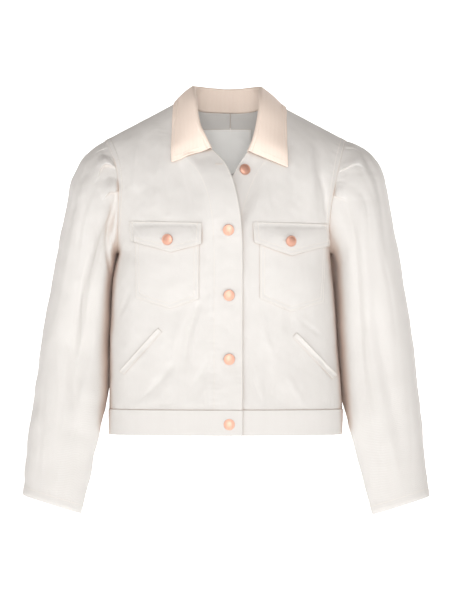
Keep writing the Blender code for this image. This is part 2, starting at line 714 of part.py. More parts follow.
def material(name, colour, roughness, metallic=0.0):
    made = bpy.data.materials.new(name)
    made.use_nodes = True
    shader = made.node_tree.nodes["Principled BSDF"]
    shader.inputs["Base Color"].default_value = (*colour, 1)
    shader.inputs["Roughness"].default_value = roughness
    shader.inputs["Metallic"].default_value = metallic
    return made


def make_waistband(material):
    """One folded strip from the right front's edge round the back to the left front's, lapped in front."""
    rows = np.array([HEM, (HEM + BAND_TOP) / 2, BAND_TOP - SEAM_GAP * 1.3])
    grid = []
    for z in rows:
        start = turn_at(FRONT, RIGHT, -RIGHT_EDGE["across"][0], z)
        end = turn_at(FRONT, LEFT, LEFT_EDGE["across"][0], z)
        quarter = math.pi / 2
        stretches = [
            (FRONT, RIGHT, np.linspace(start, quarter, 15)[:-1]),
            (BACK, RIGHT, np.linspace(quarter, 0, 12)[:-1]),
            (BACK, LEFT, np.linspace(0, quarter, 12)[:-1]),
            (FRONT, LEFT, np.linspace(quarter, end, 14)),
        ]
        row = []
        for face, side, turns in stretches:
            points = torso_point(face, side, turns, np.full_like(turns, z))
            points[:, 0] *= side
            if face == FRONT:
                points[:, 1] -= overlap_lift(side, points[:, 0], np.full_like(turns, BAND_TOP))
            row.append(points)
        grid.append(np.concatenate(row))
    middle = np.array(grid)
    normal = grid_normals(middle)
    outward = (BAND_THICKNESS - DENIM) / 2
    inner = middle - normal * (BAND_THICKNESS - outward)
    return cloth_object("waistband", middle + normal * outward, inner, material)


def neckline_points(panels, where):
    """The point on the neckline at each place along it."""
    lines = [
        neckline_of(panels[FRONT, RIGHT]),
        np.concatenate([neckline_of(panels[BACK, RIGHT])[::-1], neckline_of(panels[BACK, LEFT])]),
        neckline_of(panels[FRONT, LEFT])[::-1],
    ]
    points = []
    for place in where:
        stretch = min(int(place), 2)
        point_at, _ = along_path(lines[stretch])
        points.append(point_at(place - stretch))
    return np.array(points)


def neckline_of(panel):
    """The neckline of a panel from its lower corner to the shoulder."""
    up = np.linspace(panel.corner, 1, 200)
    return panel.surface(np.zeros_like(up), up)


def make_collar(panels, tree, material):
    """A strip of corduroy that stands up from the neckline, rolls over and falls onto the shoulders."""
    where = np.array(COLLAR["where"])
    spread = np.linspace(0, 3, COLLAR_COLUMNS + 1)
    smooth_at = {
        name: curve_through(where, COLLAR[name])(spread)
        for name in ("roll_x", "roll_y", "roll_z", "edge_x", "edge_y", "edge_z")
    }
    neck = neckline_points(panels, spread)
    roll = np.stack([smooth_at["roll_x"], smooth_at["roll_y"], smooth_at["roll_z"]], axis=-1)
    edge = np.stack([smooth_at["edge_x"], smooth_at["edge_y"], smooth_at["edge_z"]], axis=-1)
    stand = unit(roll - neck)
    neck = neck + stand * (COLLAR_THICKNESS / 2 + SEAM_GAP)
    away = unit(np.cross(stand, np.gradient(roll, axis=0)))
    top = roll - stand * ROLL_RADIUS
    rows = [neck, (neck + top) / 2, top]
    for turn in np.radians([45, 90, 135, 180]):
        rows.append(top + away * ROLL_RADIUS * (1 - np.cos(turn)) + stand * ROLL_RADIUS * np.sin(turn))
    fall_start = rows[-1]
    for share in (0.25, 0.5, 0.75, 1.0):
        bulge = away * 1.5 * MM * math.sin(math.pi * share)
        fall = fall_start + (edge - fall_start) * share + bulge
        rows.append(np.array([pushed_out(tree, point, FALL_CLEARANCE) for point in fall]))
    middle = np.array(rows)
    normal = grid_normals(middle)
    half = COLLAR_THICKNESS / 2
    return cloth_object("collar", middle + normal * half, middle - normal * half, material)


def pushed_out(tree, point, clearance):
    """The point, moved to stand at least the clearance outside the panels."""
    place, normal, _, _ = tree.find_nearest(Vector(point))
    height = (Vector(point) - place).dot(normal)
    distance = (Vector(point) - place).length
    if height > 0 and distance >= clearance:
        return list(point)
    return list(place + normal * clearance)


def make_button(name, place, normal, material):
    """A shank button: its section turned round its axis, stood on the cloth along the cloth's normal."""
    mesh = bmesh.new()
    section = zip(BUTTON_PROFILE["radius"], BUTTON_PROFILE["height"])
    points = [mesh.verts.new((radius, 0, height)) for radius, height in section]
    for first, second in zip(points, points[1:]):
        mesh.edges.new((first, second))
    made = object_from(name, mesh, material)
    screw = made.modifiers.new("turned", "SCREW")
    screw.steps = screw.render_steps = BUTTON_STEPS
    screw.use_merge_vertices = True
    screw.merge_threshold = 0.01 * MM
    screw.use_smooth_shade = True
    made.location = place + normal * SEAM_GAP
    made.rotation_mode = "QUATERNION"
    made.rotation_quaternion = normal.to_track_quat("Z", "Y")
    return made


def main():
    denim = material("ecru_denim", (0.86, 0.82, 0.75), 0.85)
    corduroy = material("rose_corduroy", (0.80, 0.62, 0.50), 0.9)
    satin = material("label_satin", (0.85, 0.85, 0.82), 0.5)
    copper = material("copper", (0.80, 0.42, 0.30), 0.25, metallic=1.0)

    panels = {
        (face, side): Panel(face, side, FRONT_COLUMNS if face == FRONT else BACK_COLUMNS)
        for face in (FRONT, BACK)
        for side in (RIGHT, LEFT)
    }
    grids = {}
    for (face, side), panel in panels.items():
        outer, inner = panel.walls()
        grids[face, side] = outer, inner
        name = ("front_" if face == FRONT else "back_") + SIDE_NAME[side]
        cloth_object(name, outer, inner, denim)
    waistband = make_waistband(denim)

    for side in (RIGHT, LEFT):
        outer, inner = sleeve_walls(side)
        cloth_object(f"sleeve_{SIDE_NAME[side]}", outer, inner, denim, ring=True)

    outside = surface_tree([(grids[face, side][0], face * side > 0) for face, side in grids])
    make_collar(panels, outside, corduroy)

    for side in (RIGHT, LEFT):
        name = SIDE_NAME[side]
        front = surface_tree([(grids[FRONT, side][0], side < 0)])
        bag = sewn_on(front, pointed_patch(POCKETS[side], 8, 9), LAY_GAP)
        solidified_object(f"chest_pocket_{name}", facing_front(bag), denim, POCKET_THICKNESS)
        flap_gap = 2 * LAY_GAP + POCKET_THICKNESS
        flap = facing_front(sewn_on(front, pointed_patch(FLAPS[side], 3, 11), flap_gap))
        solidified_object(f"pocket_flap_{name}", flap, denim, FLAP_THICKNESS)
        along = np.array([WELTS[side]["x"], WELTS[side]["z"]]).T
        direction = unit(along[1] - along[0])
        downward = np.array([direction[1], -direction[0]])
        downward = downward if downward[1] < 0 else -downward
        line = along[0] + (along[1] - along[0]) * even_shares(*along[:, 0], along[0, 1], 10)[:, None]
        welt = np.array([line, line + downward * WELT_WIDTH / 2, line + downward * WELT_WIDTH])
        welt_grid = facing_front(sewn_on(front, welt, LAY_GAP))
        solidified_object(f"welt_{name}", welt_grid, denim, POCKET_THICKNESS)
        on_flap = surface_tree([(flap, False)])
        (x,), (z,) = FLAP_BUTTONS[side]["x"], FLAP_BUTTONS[side]["z"]
        place, normal = onto(on_flap, x, z, -0.4, 1)
        make_button(f"flap_button_{name}", place + normal * FLAP_THICKNESS, normal, copper)

    right_front = surface_tree([(grids[FRONT, RIGHT][0], False)])
    left_front = surface_tree([(grids[FRONT, LEFT][0], False)])
    band = BVHTree.FromObject(waistband, bpy.context.evaluated_depsgraph_get())
    spots = [(NECK_BUTTON["x"][0], NECK_BUTTON["z"][0], left_front)]
    spots += [(x, z, right_front) for x, z in zip(FRONT_BUTTONS["x"][:-1], FRONT_BUTTONS["z"][:-1])]
    spots.append((FRONT_BUTTONS["x"][-1], FRONT_BUTTONS["z"][-1], band))
    for number, (x, z, tree) in enumerate(spots, start=1):
        place, normal = onto(tree, x, z, -0.4, 1)
        make_button(f"front_button_{number}", place, normal, copper)

    inside = surface_tree([(grids[BACK, side][1], False) for side in (RIGHT, LEFT)])
    across = np.linspace(LABEL["left"], LABEL["right"], 7)
    down = np.linspace(LABEL["top"], LABEL["bottom"], 6)
    label = []
    for z in down:
        places = [onto(inside, x, z, 0, 1) for x in across]
        label.append([place + normal * LAY_GAP for place, normal in places])
    solidified_object("neck_label", facing_front(np.array(label)), satin, LABEL_THICKNESS)


for old in list(bpy.data.objects):
    bpy.data.objects.remove(old)
jacket = bpy.data.collections.new("denim_jacket")
bpy.context.scene.collection.children.link(jacket)
main()
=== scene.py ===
import math

import bmesh
import bpy
import numpy as np
from mathutils import Matrix, Vector
from mathutils.bvhtree import BVHTree


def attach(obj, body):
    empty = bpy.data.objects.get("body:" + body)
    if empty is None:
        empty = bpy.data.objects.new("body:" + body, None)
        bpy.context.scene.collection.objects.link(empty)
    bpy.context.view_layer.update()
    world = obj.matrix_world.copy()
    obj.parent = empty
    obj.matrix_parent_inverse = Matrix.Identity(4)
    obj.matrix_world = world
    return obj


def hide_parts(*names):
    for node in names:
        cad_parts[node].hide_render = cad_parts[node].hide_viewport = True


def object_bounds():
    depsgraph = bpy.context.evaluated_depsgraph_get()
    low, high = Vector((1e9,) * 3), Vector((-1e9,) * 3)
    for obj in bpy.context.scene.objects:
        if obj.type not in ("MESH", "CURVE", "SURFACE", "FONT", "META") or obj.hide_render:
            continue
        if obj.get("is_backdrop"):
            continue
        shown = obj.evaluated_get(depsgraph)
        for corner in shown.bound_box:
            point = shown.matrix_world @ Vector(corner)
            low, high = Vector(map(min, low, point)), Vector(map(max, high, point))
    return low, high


print("loading the jacket's frame")
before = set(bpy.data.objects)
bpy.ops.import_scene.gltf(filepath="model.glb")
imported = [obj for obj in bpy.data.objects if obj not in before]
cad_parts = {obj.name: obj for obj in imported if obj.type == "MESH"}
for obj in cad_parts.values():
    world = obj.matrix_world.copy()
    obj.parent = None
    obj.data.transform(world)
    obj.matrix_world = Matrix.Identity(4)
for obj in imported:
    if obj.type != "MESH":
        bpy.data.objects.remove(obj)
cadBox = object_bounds()
mm = 0.001
right, left = -1, 1  # the wearer's sides
front, back = -1, 1
sideName = {right: "right", left: "left"}


def rowsOf(columns, rows):  # a table in millimetres, as a dictionary of columns in metres
    values = np.array(rows, float).T * mm
    return dict(zip(columns.split(), values))


def smooth(value, low, high):
    k = np.clip((np.asarray(value, float) - low) / (high - low), 0, 1)
    return k * k * (3 - 2 * k)


def curveThrough(knots, values):  # smooth, without overshoot
    knots, values = np.asarray(knots, float), np.asarray(values, float)
    widths = np.diff(knots)
    slopes = np.diff(values) / widths
    tangents = np.concatenate([slopes[:1], np.zeros(len(slopes) - 1), slopes[-1:]])
    same = slopes[:-1] * slopes[1:] > 0
    tangents[1:-1][same] = 2 / (1 / slopes[:-1][same] + 1 / slopes[1:][same])

    def valueAt(x):
        x = np.clip(np.asarray(x, float), knots[0], knots[-1])
        i = np.clip(np.searchsorted(knots, x, side="right") - 1, 0, len(widths) - 1)
        h = widths[i]
        t = (x - knots[i]) / h
        return (
            values[i] * (1 + 2 * t) * (1 - t) ** 2
            + tangents[i] * h * t * (1 - t) ** 2
            + values[i + 1] * t**2 * (3 - 2 * t)
            + tangents[i + 1] * h * t**2 * (t - 1)
        )

    return valueAt


def unit(vectors):
    return vectors / np.maximum(np.linalg.norm(vectors, axis=-1, keepdims=True), 1e-12)


def ripple(points, size, seed, octaves=5):  # soft unevenness of about -1 to 1
    dice = np.random.default_rng(seed)
    total = np.zeros(points.shape[:-1])
    for k in range(octaves * 2):
        way = unit(dice.normal(size=3))
        total += np.sin(points @ way * (2 * math.pi / (size * dice.uniform(0.6, 1.7))) + dice.uniform(0, 6.3))
    return total / math.sqrt(octaves * 2)


# the form that the jacket is worn on, as the solids have it
torso = {
    "sizes": rowsOf(
        "height right left front back",
        [
            (-535, 184.5, 184.5, 115, 95),
            (-491, 184.8, 186.0, 114, 93),
            (-450, 184.6, 183.4, 113, 90),
            (-420, 184.5, 181.0, 112, 89),
            (-380, 184.0, 177.8, 113, 89),
            (-340, 182.2, 175.4, 115, 92),
            (-310, 180.8, 173.2, 117, 95),
            (-285, 179.0, 171.0, 119, 98),
            (-262, 175.4, 168.6, 120, 100),
            (-241, 170.0, 167.0, 120, 101),
            (-200, 170.0, 167.0, 117, 103),
            (-160, 170.0, 167.0, 110, 102),
            (-120, 170.0, 167.0, 99, 97),
            (-80, 170.0, 167.0, 86, 88),
            (-40, 170.0, 167.0, 74, 76),
            (-16, 170.0, 167.0, 69, 67),
            (0, 170.0, 167.0, 66, 62),
            (40, 170.0, 167.0, 66, 60),
        ],
    ),
    "armholes": rowsOf(
        "height right left",
        [
            (-241, 170.0, 167.0),
            (-213, 171.0, 164.6),
            (-173, 170.0, 167.4),
            (-141, 169.6, 173.2),
            (-107, 173.5, 180.2),
            (-85, 181.0, 186.0),
            (-62, 192.0, 192.0),
        ],
    ),
    "hem": -531 * mm,
    "bandTop": -491 * mm,
    "neckHalf": 75 * mm,
    "shoulderHalf": 192 * mm,
    "shoulderDrop": 62 * mm,
    "setBack": 5 * mm,
    "underarm": -241 * mm,
    "armholeHalf": {front: 60 * mm, back: 62 * mm},
    "shoulderRound": {front: 110 * mm, back: 90 * mm},
    "backNeckDrop": 16 * mm,
    "backSeam": 8 * mm,
    "squareness": 0.75,
}
cloth = {
    "denim": 1.6 * mm,
    "band": 2.6 * mm,
    "collar": 2.4 * mm,
    "pocket": 1.2 * mm,
    "flap": 1.8 * mm,
    "label": 0.7 * mm,
    "seamGap": 0.3 * mm,
}


def byHeight(table, column):
    return curveThrough(table["height"], table[column])


halfWidth = {side: byHeight(torso["sizes"], sideName[side]) for side in (right, left)}
middleDepth = {front: byHeight(torso["sizes"], "front"), back: byHeight(torso["sizes"], "back")}
armholeAcross = {side: byHeight(torso["armholes"], sideName[side]) for side in (right, left)}
armholeMiddle = (torso["underarm"] - torso["shoulderDrop"]) / 2
armholeRise = (-torso["shoulderDrop"] - torso["underarm"]) / 2
shoulderSlope = torso["shoulderDrop"] / (torso["shoulderHalf"] - torso["neckHalf"])


def shoulderHeight(across):
    return -(np.abs(across) - torso["neckHalf"]) * shoulderSlope


def setBack(across, z):
    below = (shoulderHeight(across) - z) / (-torso["shoulderDrop"] - torso["underarm"])
    return torso["setBack"] * np.clip(1 - below, 0, 1)


def shoulderRound(face, across, z):
    below = np.clip((shoulderHeight(across) - z) / torso["shoulderRound"][face], 0, 1)
    return np.sqrt(1 - (1 - below) ** 2)


def armholePoint(side, angle):  # x outwards; the angle runs from the shoulder down the front
    z = armholeMiddle + armholeRise * np.cos(angle)
    half = np.where(np.sin(angle) >= 0, torso["armholeHalf"][front], torso["armholeHalf"][back])
    y = torso["setBack"] * (1 + np.cos(angle)) / 2 - half * np.sin(angle)
    return np.stack([armholeAcross[side](z), y, z], axis=-1)


def sectionWidth(face, side, z):
    z = np.minimum(z, -torso["shoulderDrop"] - 1 * mm)
    above = np.clip(z, torso["underarm"], None)
    x = armholeAcross[side](above)
    cosine = np.clip((above - armholeMiddle) / armholeRise, -1, 1)
    seamDepth = torso["armholeHalf"][face] * np.sqrt(1 - cosine**2)
    fullDepth = middleDepth[face](above) * np.maximum(shoulderRound(face, x, above), 1e-3)
    share = np.clip(seamDepth / fullDepth, 0, 0.97) ** (1 / torso["squareness"])
    return np.where(z > torso["underarm"], x / np.sqrt(1 - share**2), halfWidth[side](z))


def torsoPoint(face, side, turn, z):
    across = sectionWidth(face, side, z) * np.sin(turn)
    rounded = np.abs(np.cos(turn)) ** torso["squareness"]
    depth = middleDepth[face](z) * rounded * shoulderRound(face, across, z)
    return np.stack([across, setBack(across, z) + face * depth, z + np.zeros_like(across)], axis=-1)


def turnAt(face, side, across, z):
    return np.arcsin(np.clip(across / sectionWidth(face, side, z), -1, 1))


def alongPath(points):
    lengths = np.concatenate([[0], np.cumsum(np.linalg.norm(np.diff(points, axis=0), axis=1))])
    shares = lengths / lengths[-1]

    def pointAt(share):
        return np.stack([np.interp(share, shares, points[:, k]) for k in range(3)], axis=-1)

    return pointAt, shares


# meshes from grids of points
def gridNormals(grid):
    along = np.gradient(grid, axis=1)
    down = np.gradient(grid, axis=0)
    return unit(np.cross(along, down))


def arcLengths(grid, axis):
    steps = np.linalg.norm(np.diff(grid, axis=axis), axis=-1)
    total = np.cumsum(steps, axis=axis)
    return np.concatenate([np.zeros_like(np.take(total, [0], axis=axis)), total], axis=axis)


def placed(name, data):
    made = bpy.data.objects.new(name, data)
    bpy.context.scene.collection.objects.link(made)
    return made


def meshObject(name, points, faces, uvs, material):
    data = bpy.data.meshes.new(name)
    data.from_pydata([tuple(p) for p in points], [], faces)
    loops = np.empty(len(data.loops), dtype=np.int32)
    data.loops.foreach_get("vertex_index", loops)
    layer = data.uv_layers.new(name="cloth")
    layer.data.foreach_set("uv", np.asarray(uvs, np.float32)[loops].ravel())
    data.materials.append(material)
    data.shade_smooth()
    return placed(name, data)


# a closed wall between two grids of points, with rounded edges
def clothWall(name, outer, inner, uv, material, tube=False, edgeRound=0.35):
    rows, columns = outer.shape[:2]
    count = rows * columns
    points = [outer.reshape(-1, 3), inner.reshape(-1, 3)]
    uvs = [uv.reshape(-1, 2), uv.reshape(-1, 2)]
    index = np.arange(count).reshape(rows, columns)
    faces = []
    later = np.roll(index, -1, axis=1) if tube else index[:, 1:]
    earlier = index if tube else index[:, :-1]
    a, b, c, d = earlier[:-1], later[:-1], later[1:], earlier[1:]
    faces += np.stack([a, b, c, d], -1).reshape(-1, 4).tolist()
    faces += (np.stack([a, d, c, b], -1).reshape(-1, 4) + count).tolist()
    if tube:
        loops = [(index[0], outer[1] - outer[0], True), (index[-1], outer[-2] - outer[-1], False)]
    else:
        ring = np.concatenate([index[0, :], index[1:, -1], index[-1, -2::-1], index[-2:0:-1, 0]])
        inward = np.concatenate(
            [
                outer[1] - outer[0],
                (outer[:, -2] - outer[:, -1])[1:],
                (outer[-2] - outer[-1])[-2::-1],
                (outer[:, 1] - outer[:, 0])[-2:0:-1],
            ]
        )
        loops = [(ring, inward, True)]
    start = 2 * count
    for ring, inward, forward in loops:
        o, i = outer.reshape(-1, 3)[ring], inner.reshape(-1, 3)[ring]
        middle = (o + i) / 2 - unit(inward) * np.linalg.norm(o - i, axis=1, keepdims=True) * edgeRound
        points.append(middle)
        uvs.append(uv.reshape(-1, 2)[ring])
        n = len(ring)
        rim = np.arange(n) + start
        start += n
        for first, second in ((ring, rim), (rim, ring + count)):
            p, q = first, np.roll(first, -1)
            r, s = np.roll(second, -1), second
            quads = np.stack([q, p, s, r] if forward else [p, q, r, s], -1)
            faces += quads.tolist()
    made = meshObject(name, np.concatenate(points), faces, np.concatenate(uvs), material)
    if signedVolume(made.data) < 0:
        made.data.flip_normals()
    return made


def signedVolume(data):
    data.calc_loop_triangles()
    co = np.empty(len(data.vertices) * 3)
    data.vertices.foreach_get("co", co)
    co = co.reshape(-1, 3)
    tri = np.empty(len(data.loop_triangles) * 3, dtype=np.int32)
    data.loop_triangles.foreach_get("vertices", tri)
    a, b, c = co[tri.reshape(-1, 3)].transpose(1, 0, 2)
    return float((a * np.cross(b, c)).sum() / 6)


def gridFaces(rows, columns, start=0):
    index = np.arange(rows * columns).reshape(rows, columns) + start
    corners = [index[:-1, :-1], index[:-1, 1:], index[1:, 1:], index[1:, :-1]]
    return np.stack(corners, -1).reshape(-1, 4).tolist()


def softened(grid, times):  # each inner point drawn towards its four neighbours
    grid = grid.copy()
    for _ in range(times):
        around = grid[:-2, 1:-1] + grid[2:, 1:-1] + grid[1:-1, :-2] + grid[1:-1, 2:]
        grid[1:-1, 1:-1] = (grid[1:-1, 1:-1] * 2 + around) / 6
    return grid


def treeOf(grids):
    points, faces = [], []
    for grid in grids:
        rows, columns = grid.shape[:2]
        faces += gridFaces(rows, columns, len(points))
        points += [tuple(p) for p in grid.reshape(-1, 3)]
    return BVHTree.FromPolygons(points, faces)


def onto(tree, x, z, fromY, towards):  # where a line along Y meets a surface, and the normal against it
    place, normal, _, _ = tree.ray_cast(Vector((x, fromY, z)), Vector((0, towards, 0)))
    if place is None:
        place, normal, _, _ = tree.find_nearest(Vector((x, fromY * 0.2, z)))
    return np.array(place), np.array(normal if normal.y * towards < 0 else -normal)


def keepSheet(made, nodes):
    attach(made, "root")
    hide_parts(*nodes)


# materials
def link(tree, a, b):
    tree.links.new(a, b)


def mathNode(tree, operation, a, b=None, clamp=False):
    node = tree.nodes.new("ShaderNodeMath")
    node.operation = operation
    node.use_clamp = clamp
    for slot, value in zip(node.inputs, (a, b)):
        if value is None:
            continue
        if isinstance(value, (int, float)):
            slot.default_value = value
        else:
            link(tree, value, slot)
    return node.outputs[0]


def weighted(tree, first, second):  # the sum of two values, each times its share
    return mathNode(tree, "ADD", mathNode(tree, "MULTIPLY", *first), mathNode(tree, "MULTIPLY", *second))


def scaledFrom(tree, value, scale, start, clamp=False):
    made = mathNode(tree, "MULTIPLY_ADD", value, scale, clamp)
    made.node.inputs[2].default_value = start
    return made


def stretchedPlace(tree, vector, scale):
    mapping = tree.nodes.new("ShaderNodeMapping")
    mapping.inputs["Scale"].default_value = scale
    link(tree, vector, mapping.inputs["Vector"])
    return mapping.outputs[0]


def noiseNode(tree, vector, scale, detail=3, roughness=0.55):
    node = tree.nodes.new("ShaderNodeTexNoise")
    node.inputs["Scale"].default_value = scale
    node.inputs["Detail"].default_value = detail
    node.inputs["Roughness"].default_value = roughness
    link(tree, vector, node.inputs["Vector"])
    return node.outputs["Fac"]


def mixColour(tree, factor, a, b):
    node = tree.nodes.new("ShaderNodeMix")
    node.data_type = "RGBA"
    for slot, value in ((node.inputs["Factor"], factor), (node.inputs["A"], a), (node.inputs["B"], b)):
        if isinstance(value, (tuple, float, int)):
            slot.default_value = value
        else:
            link(tree, value, slot)
    return node.outputs["Result"]


def newGroup(name, kind, inputs, outputs):
    group = bpy.data.node_groups.new(name, kind)
    for side, sockets in (("INPUT", inputs), ("OUTPUT", outputs)):
        for socket, holds in sockets.items():
            group.interface.new_socket(socket, in_out=side, socket_type="NodeSocket" + holds)
    return group, group.nodes.new("NodeGroupInput"), group.nodes.new("NodeGroupOutput")


def twillGroup():
    inputs = {"Cloth": "Vector", "Place": "Vector", "Rib Spacing": "Float"}
    outputs = {"Height": "Float", "Slub": "Float"}
    group, gin, gout = newGroup("twillWeave", "ShaderNodeTree", inputs, outputs)
    split = group.nodes.new("ShaderNodeSeparateXYZ")
    link(group, gin.outputs["Cloth"], split.inputs[0])
    wobble = noiseNode(group, gin.outputs["Place"], 180, 2)
    u, v = split.outputs[0], split.outputs[1]
    turn = mathNode(group, "DIVIDE", 2 * math.pi, gin.outputs["Rib Spacing"])
    slant = mathNode(group, "ADD", u, mathNode(group, "MULTIPLY", v, 0.55))
    phase = weighted(group, (slant, turn), (wobble, 5.0))
    rib = mathNode(group, "SINE", phase)
    yarn = mathNode(group, "SINE", mathNode(group, "MULTIPLY", v, mathNode(group, "MULTIPLY", turn, 1.6)))
    fine = noiseNode(group, gin.outputs["Place"], 1500, 2)
    slub = noiseNode(group, stretchedPlace(group, gin.outputs["Cloth"], (1.0, 0.12, 1.0)), 900, 3)
    ribs = weighted(group, (rib, 0.34), (yarn, 0.14))
    rough = weighted(group, (fine, 0.5), (slub, 0.5))
    link(group, mathNode(group, "ADD", ribs, rough), gout.inputs["Height"])
    link(group, slub, gout.inputs["Slub"])
    return group


def newMaterial(name, roughness, metallic=0.0):
    made = bpy.data.materials.new(name)
    made.use_nodes = True
    tree = made.node_tree
    shader = tree.nodes["Principled BSDF"]
    shader.inputs["Roughness"].default_value = roughness
    shader.inputs["Metallic"].default_value = metallic
    place = tree.nodes.new("ShaderNodeTexCoord")
    return made, tree, shader, place


def bumpNode(tree, height, strength, distance):
    bump = tree.nodes.new("ShaderNodeBump")
    bump.inputs["Strength"].default_value = strength
    bump.inputs["Distance"].default_value = distance
    link(tree, height, bump.inputs["Height"])
    return bump.outputs["Normal"]


denimLook = {
    "base": (0.745, 0.734, 0.718, 1),
    "deep": (0.672, 0.655, 0.632, 1),
    "pale": (0.776, 0.767, 0.752, 1),
    "paintedShadeTone": (0.58, 0.41, 0.31, 1),  # painted shade: the warm dark tone that the colour is drawn towards where other cloth is close, in creases, folds and gaps
    "paintedShadeReach": 34 * mm,
    "ribSpacing": 1.5 * mm,
    "bump": 0.28,
}


def makeDenim(name, look):
    made, tree, shader, place = newMaterial(name, 0.86)
    weave = tree.nodes.new("ShaderNodeGroup")
    weave.node_tree = bpy.data.node_groups.get("twillWeave") or twillGroup()
    link(tree, place.outputs["UV"], weave.inputs["Cloth"])
    link(tree, place.outputs["Object"], weave.inputs["Place"])
    weave.inputs["Rib Spacing"].default_value = look["ribSpacing"]
    cloud = noiseNode(tree, place.outputs["Object"], 14, 4)
    patch = scaledFrom(tree, cloud, 1.8, -0.4, clamp=True)
    tone = mixColour(tree, patch, look["base"], look["pale"])
    ribTone = mathNode(tree, "MULTIPLY", weave.outputs["Height"], 0.42, clamp=True)
    tone = mixColour(tree, ribTone, look["deep"], tone)
    hanging = stretchedPlace(tree, place.outputs["Object"], (1.0, 1.0, 0.14))
    streak = scaledFrom(tree, noiseNode(tree, hanging, 85, 4), 1.8, -0.75, clamp=True)
    tone = mixColour(tree, streak, tone, look["deep"])
    # painted shade: an ambient-occlusion node pulls the colour towards the painted shade tone in creases,
    # folds and the gaps between parts
    paintedShadeOcclusion = tree.nodes.new("ShaderNodeAmbientOcclusion")
    paintedShadeOcclusion.samples = 6
    paintedShadeOcclusion.inputs["Distance"].default_value = look["paintedShadeReach"]
    unshadedShare = mathNode(tree, "MULTIPLY", paintedShadeOcclusion.outputs["AO"], 1.45, clamp=True)
    link(tree, mixColour(tree, unshadedShare, look["paintedShadeTone"], tone), shader.inputs["Base Color"])
    rough = mathNode(tree, "ADD", mathNode(tree, "MULTIPLY", weave.outputs["Slub"], 0.14), 0.8)
    link(tree, rough, shader.inputs["Roughness"])
    link(tree, bumpNode(tree, weave.outputs["Height"], look["bump"], 0.5 * mm), shader.inputs["Normal"])
    shader.inputs["Sheen Weight"].default_value = 0.28
    shader.inputs["Sheen Roughness"].default_value = 0.5
    shader.inputs["Specular IOR Level"].default_value = 0.25
    return made


corduroyLook = {
    "ridge": (0.925, 0.805, 0.715, 1),
    "groove": (0.860, 0.705, 0.600, 1),
    "waleSpacing": 2.1 * mm,
    "depth": 0.40 * mm,
}


def makeCorduroy():
    look = corduroyLook
    made, tree, shader, place = newMaterial("roseCorduroy", 0.9)
    split = tree.nodes.new("ShaderNodeSeparateXYZ")
    link(tree, place.outputs["Object"], split.inputs[0])
    wobble = noiseNode(tree, place.outputs["Object"], 26, 2)
    drift = noiseNode(tree, place.outputs["Object"], 240, 2)
    across = mathNode(tree, "MULTIPLY", split.outputs[0], 2 * math.pi / look["waleSpacing"])
    phase = mathNode(tree, "ADD", across, mathNode(tree, "MULTIPLY", wobble, 5.0))
    phase = mathNode(tree, "ADD", phase, mathNode(tree, "MULTIPLY", drift, 1.6))
    wale = scaledFrom(tree, mathNode(tree, "SINE", phase), 0.5, 0.5)
    wale = mathNode(tree, "POWER", wale, 0.6)
    pile = noiseNode(tree, place.outputs["Object"], 1400, 3, 0.7)
    tuft = noiseNode(tree, place.outputs["Object"], 420, 3, 0.6)
    height = mathNode(tree, "ADD", wale, mathNode(tree, "MULTIPLY", pile, 0.3))
    height = mathNode(tree, "ADD", height, mathNode(tree, "MULTIPLY", tuft, 0.35))
    shade = mathNode(tree, "MULTIPLY", height, 0.72, clamp=True)
    link(tree, mixColour(tree, shade, look["groove"], look["ridge"]), shader.inputs["Base Color"])
    link(tree, bumpNode(tree, height, 0.55, look["depth"]), shader.inputs["Normal"])
    shader.inputs["Sheen Weight"].default_value = 0.35
    shader.inputs["Sheen Roughness"].default_value = 0.4
    shader.inputs["Sheen Tint"].default_value = (1.0, 0.93, 0.88, 1)
    shader.inputs["Specular IOR Level"].default_value = 0.2
    return made


def makeCopper():
    made, tree, shader, place = newMaterial("rosePlate", 0.42, 0.8)
    cloud = noiseNode(tree, place.outputs["Object"], 300, 3)
    scratch = noiseNode(tree, place.outputs["Object"], 2600, 2)
    tone = mixColour(tree, cloud, (0.64, 0.34, 0.25, 1), (0.76, 0.45, 0.35, 1))
    link(tree, tone, shader.inputs["Base Color"])
    rough = mathNode(tree, "ADD", mathNode(tree, "MULTIPLY", scratch, 0.16), 0.40)
    link(tree, rough, shader.inputs["Roughness"])
    link(tree, bumpNode(tree, scratch, 0.06, 0.1 * mm), shader.inputs["Normal"])
    return made


def makeThread():
    made, tree, shader, place = newMaterial("ecruThread", 0.7)
    twist = noiseNode(tree, place.outputs["Object"], 2200, 2)
    tone = mixColour(tree, twist, (0.80, 0.74, 0.67, 1), (0.90, 0.86, 0.80, 1))
    link(tree, tone, shader.inputs["Base Color"])
    link(tree, bumpNode(tree, twist, 0.3, 0.1 * mm), shader.inputs["Normal"])
    return made


def makeLabelCloth():
    made, tree, shader, place = newMaterial("labelSatin", 0.5)
    split = tree.nodes.new("ShaderNodeSeparateXYZ")
    link(tree, place.outputs["UV"], split.inputs[0])
    weft = mathNode(tree, "SINE", mathNode(tree, "MULTIPLY", split.outputs[1], 2 * math.pi / (0.7 * mm)))
    cloud = noiseNode(tree, place.outputs["Object"], 60, 2)
    tone = mixColour(tree, cloud, (0.90, 0.90, 0.88, 1), (0.95, 0.95, 0.93, 1))
    link(tree, tone, shader.inputs["Base Color"])
    link(tree, bumpNode(tree, weft, 0.15, 0.2 * mm), shader.inputs["Normal"])
    return made


print("mixing the finishes")
denim = makeDenim("ecruDenim", denimLook)
corduroy = makeCorduroy()
copper = makeCopper()
thread = makeThread()
labelCloth = makeLabelCloth()

# sewing: a run of stitches along a line, made by Geometry Nodes
stitching = {"spacing": 3.4 * mm, "length": 2.5 * mm, "thickness": 0.62 * mm}
seamLines = []


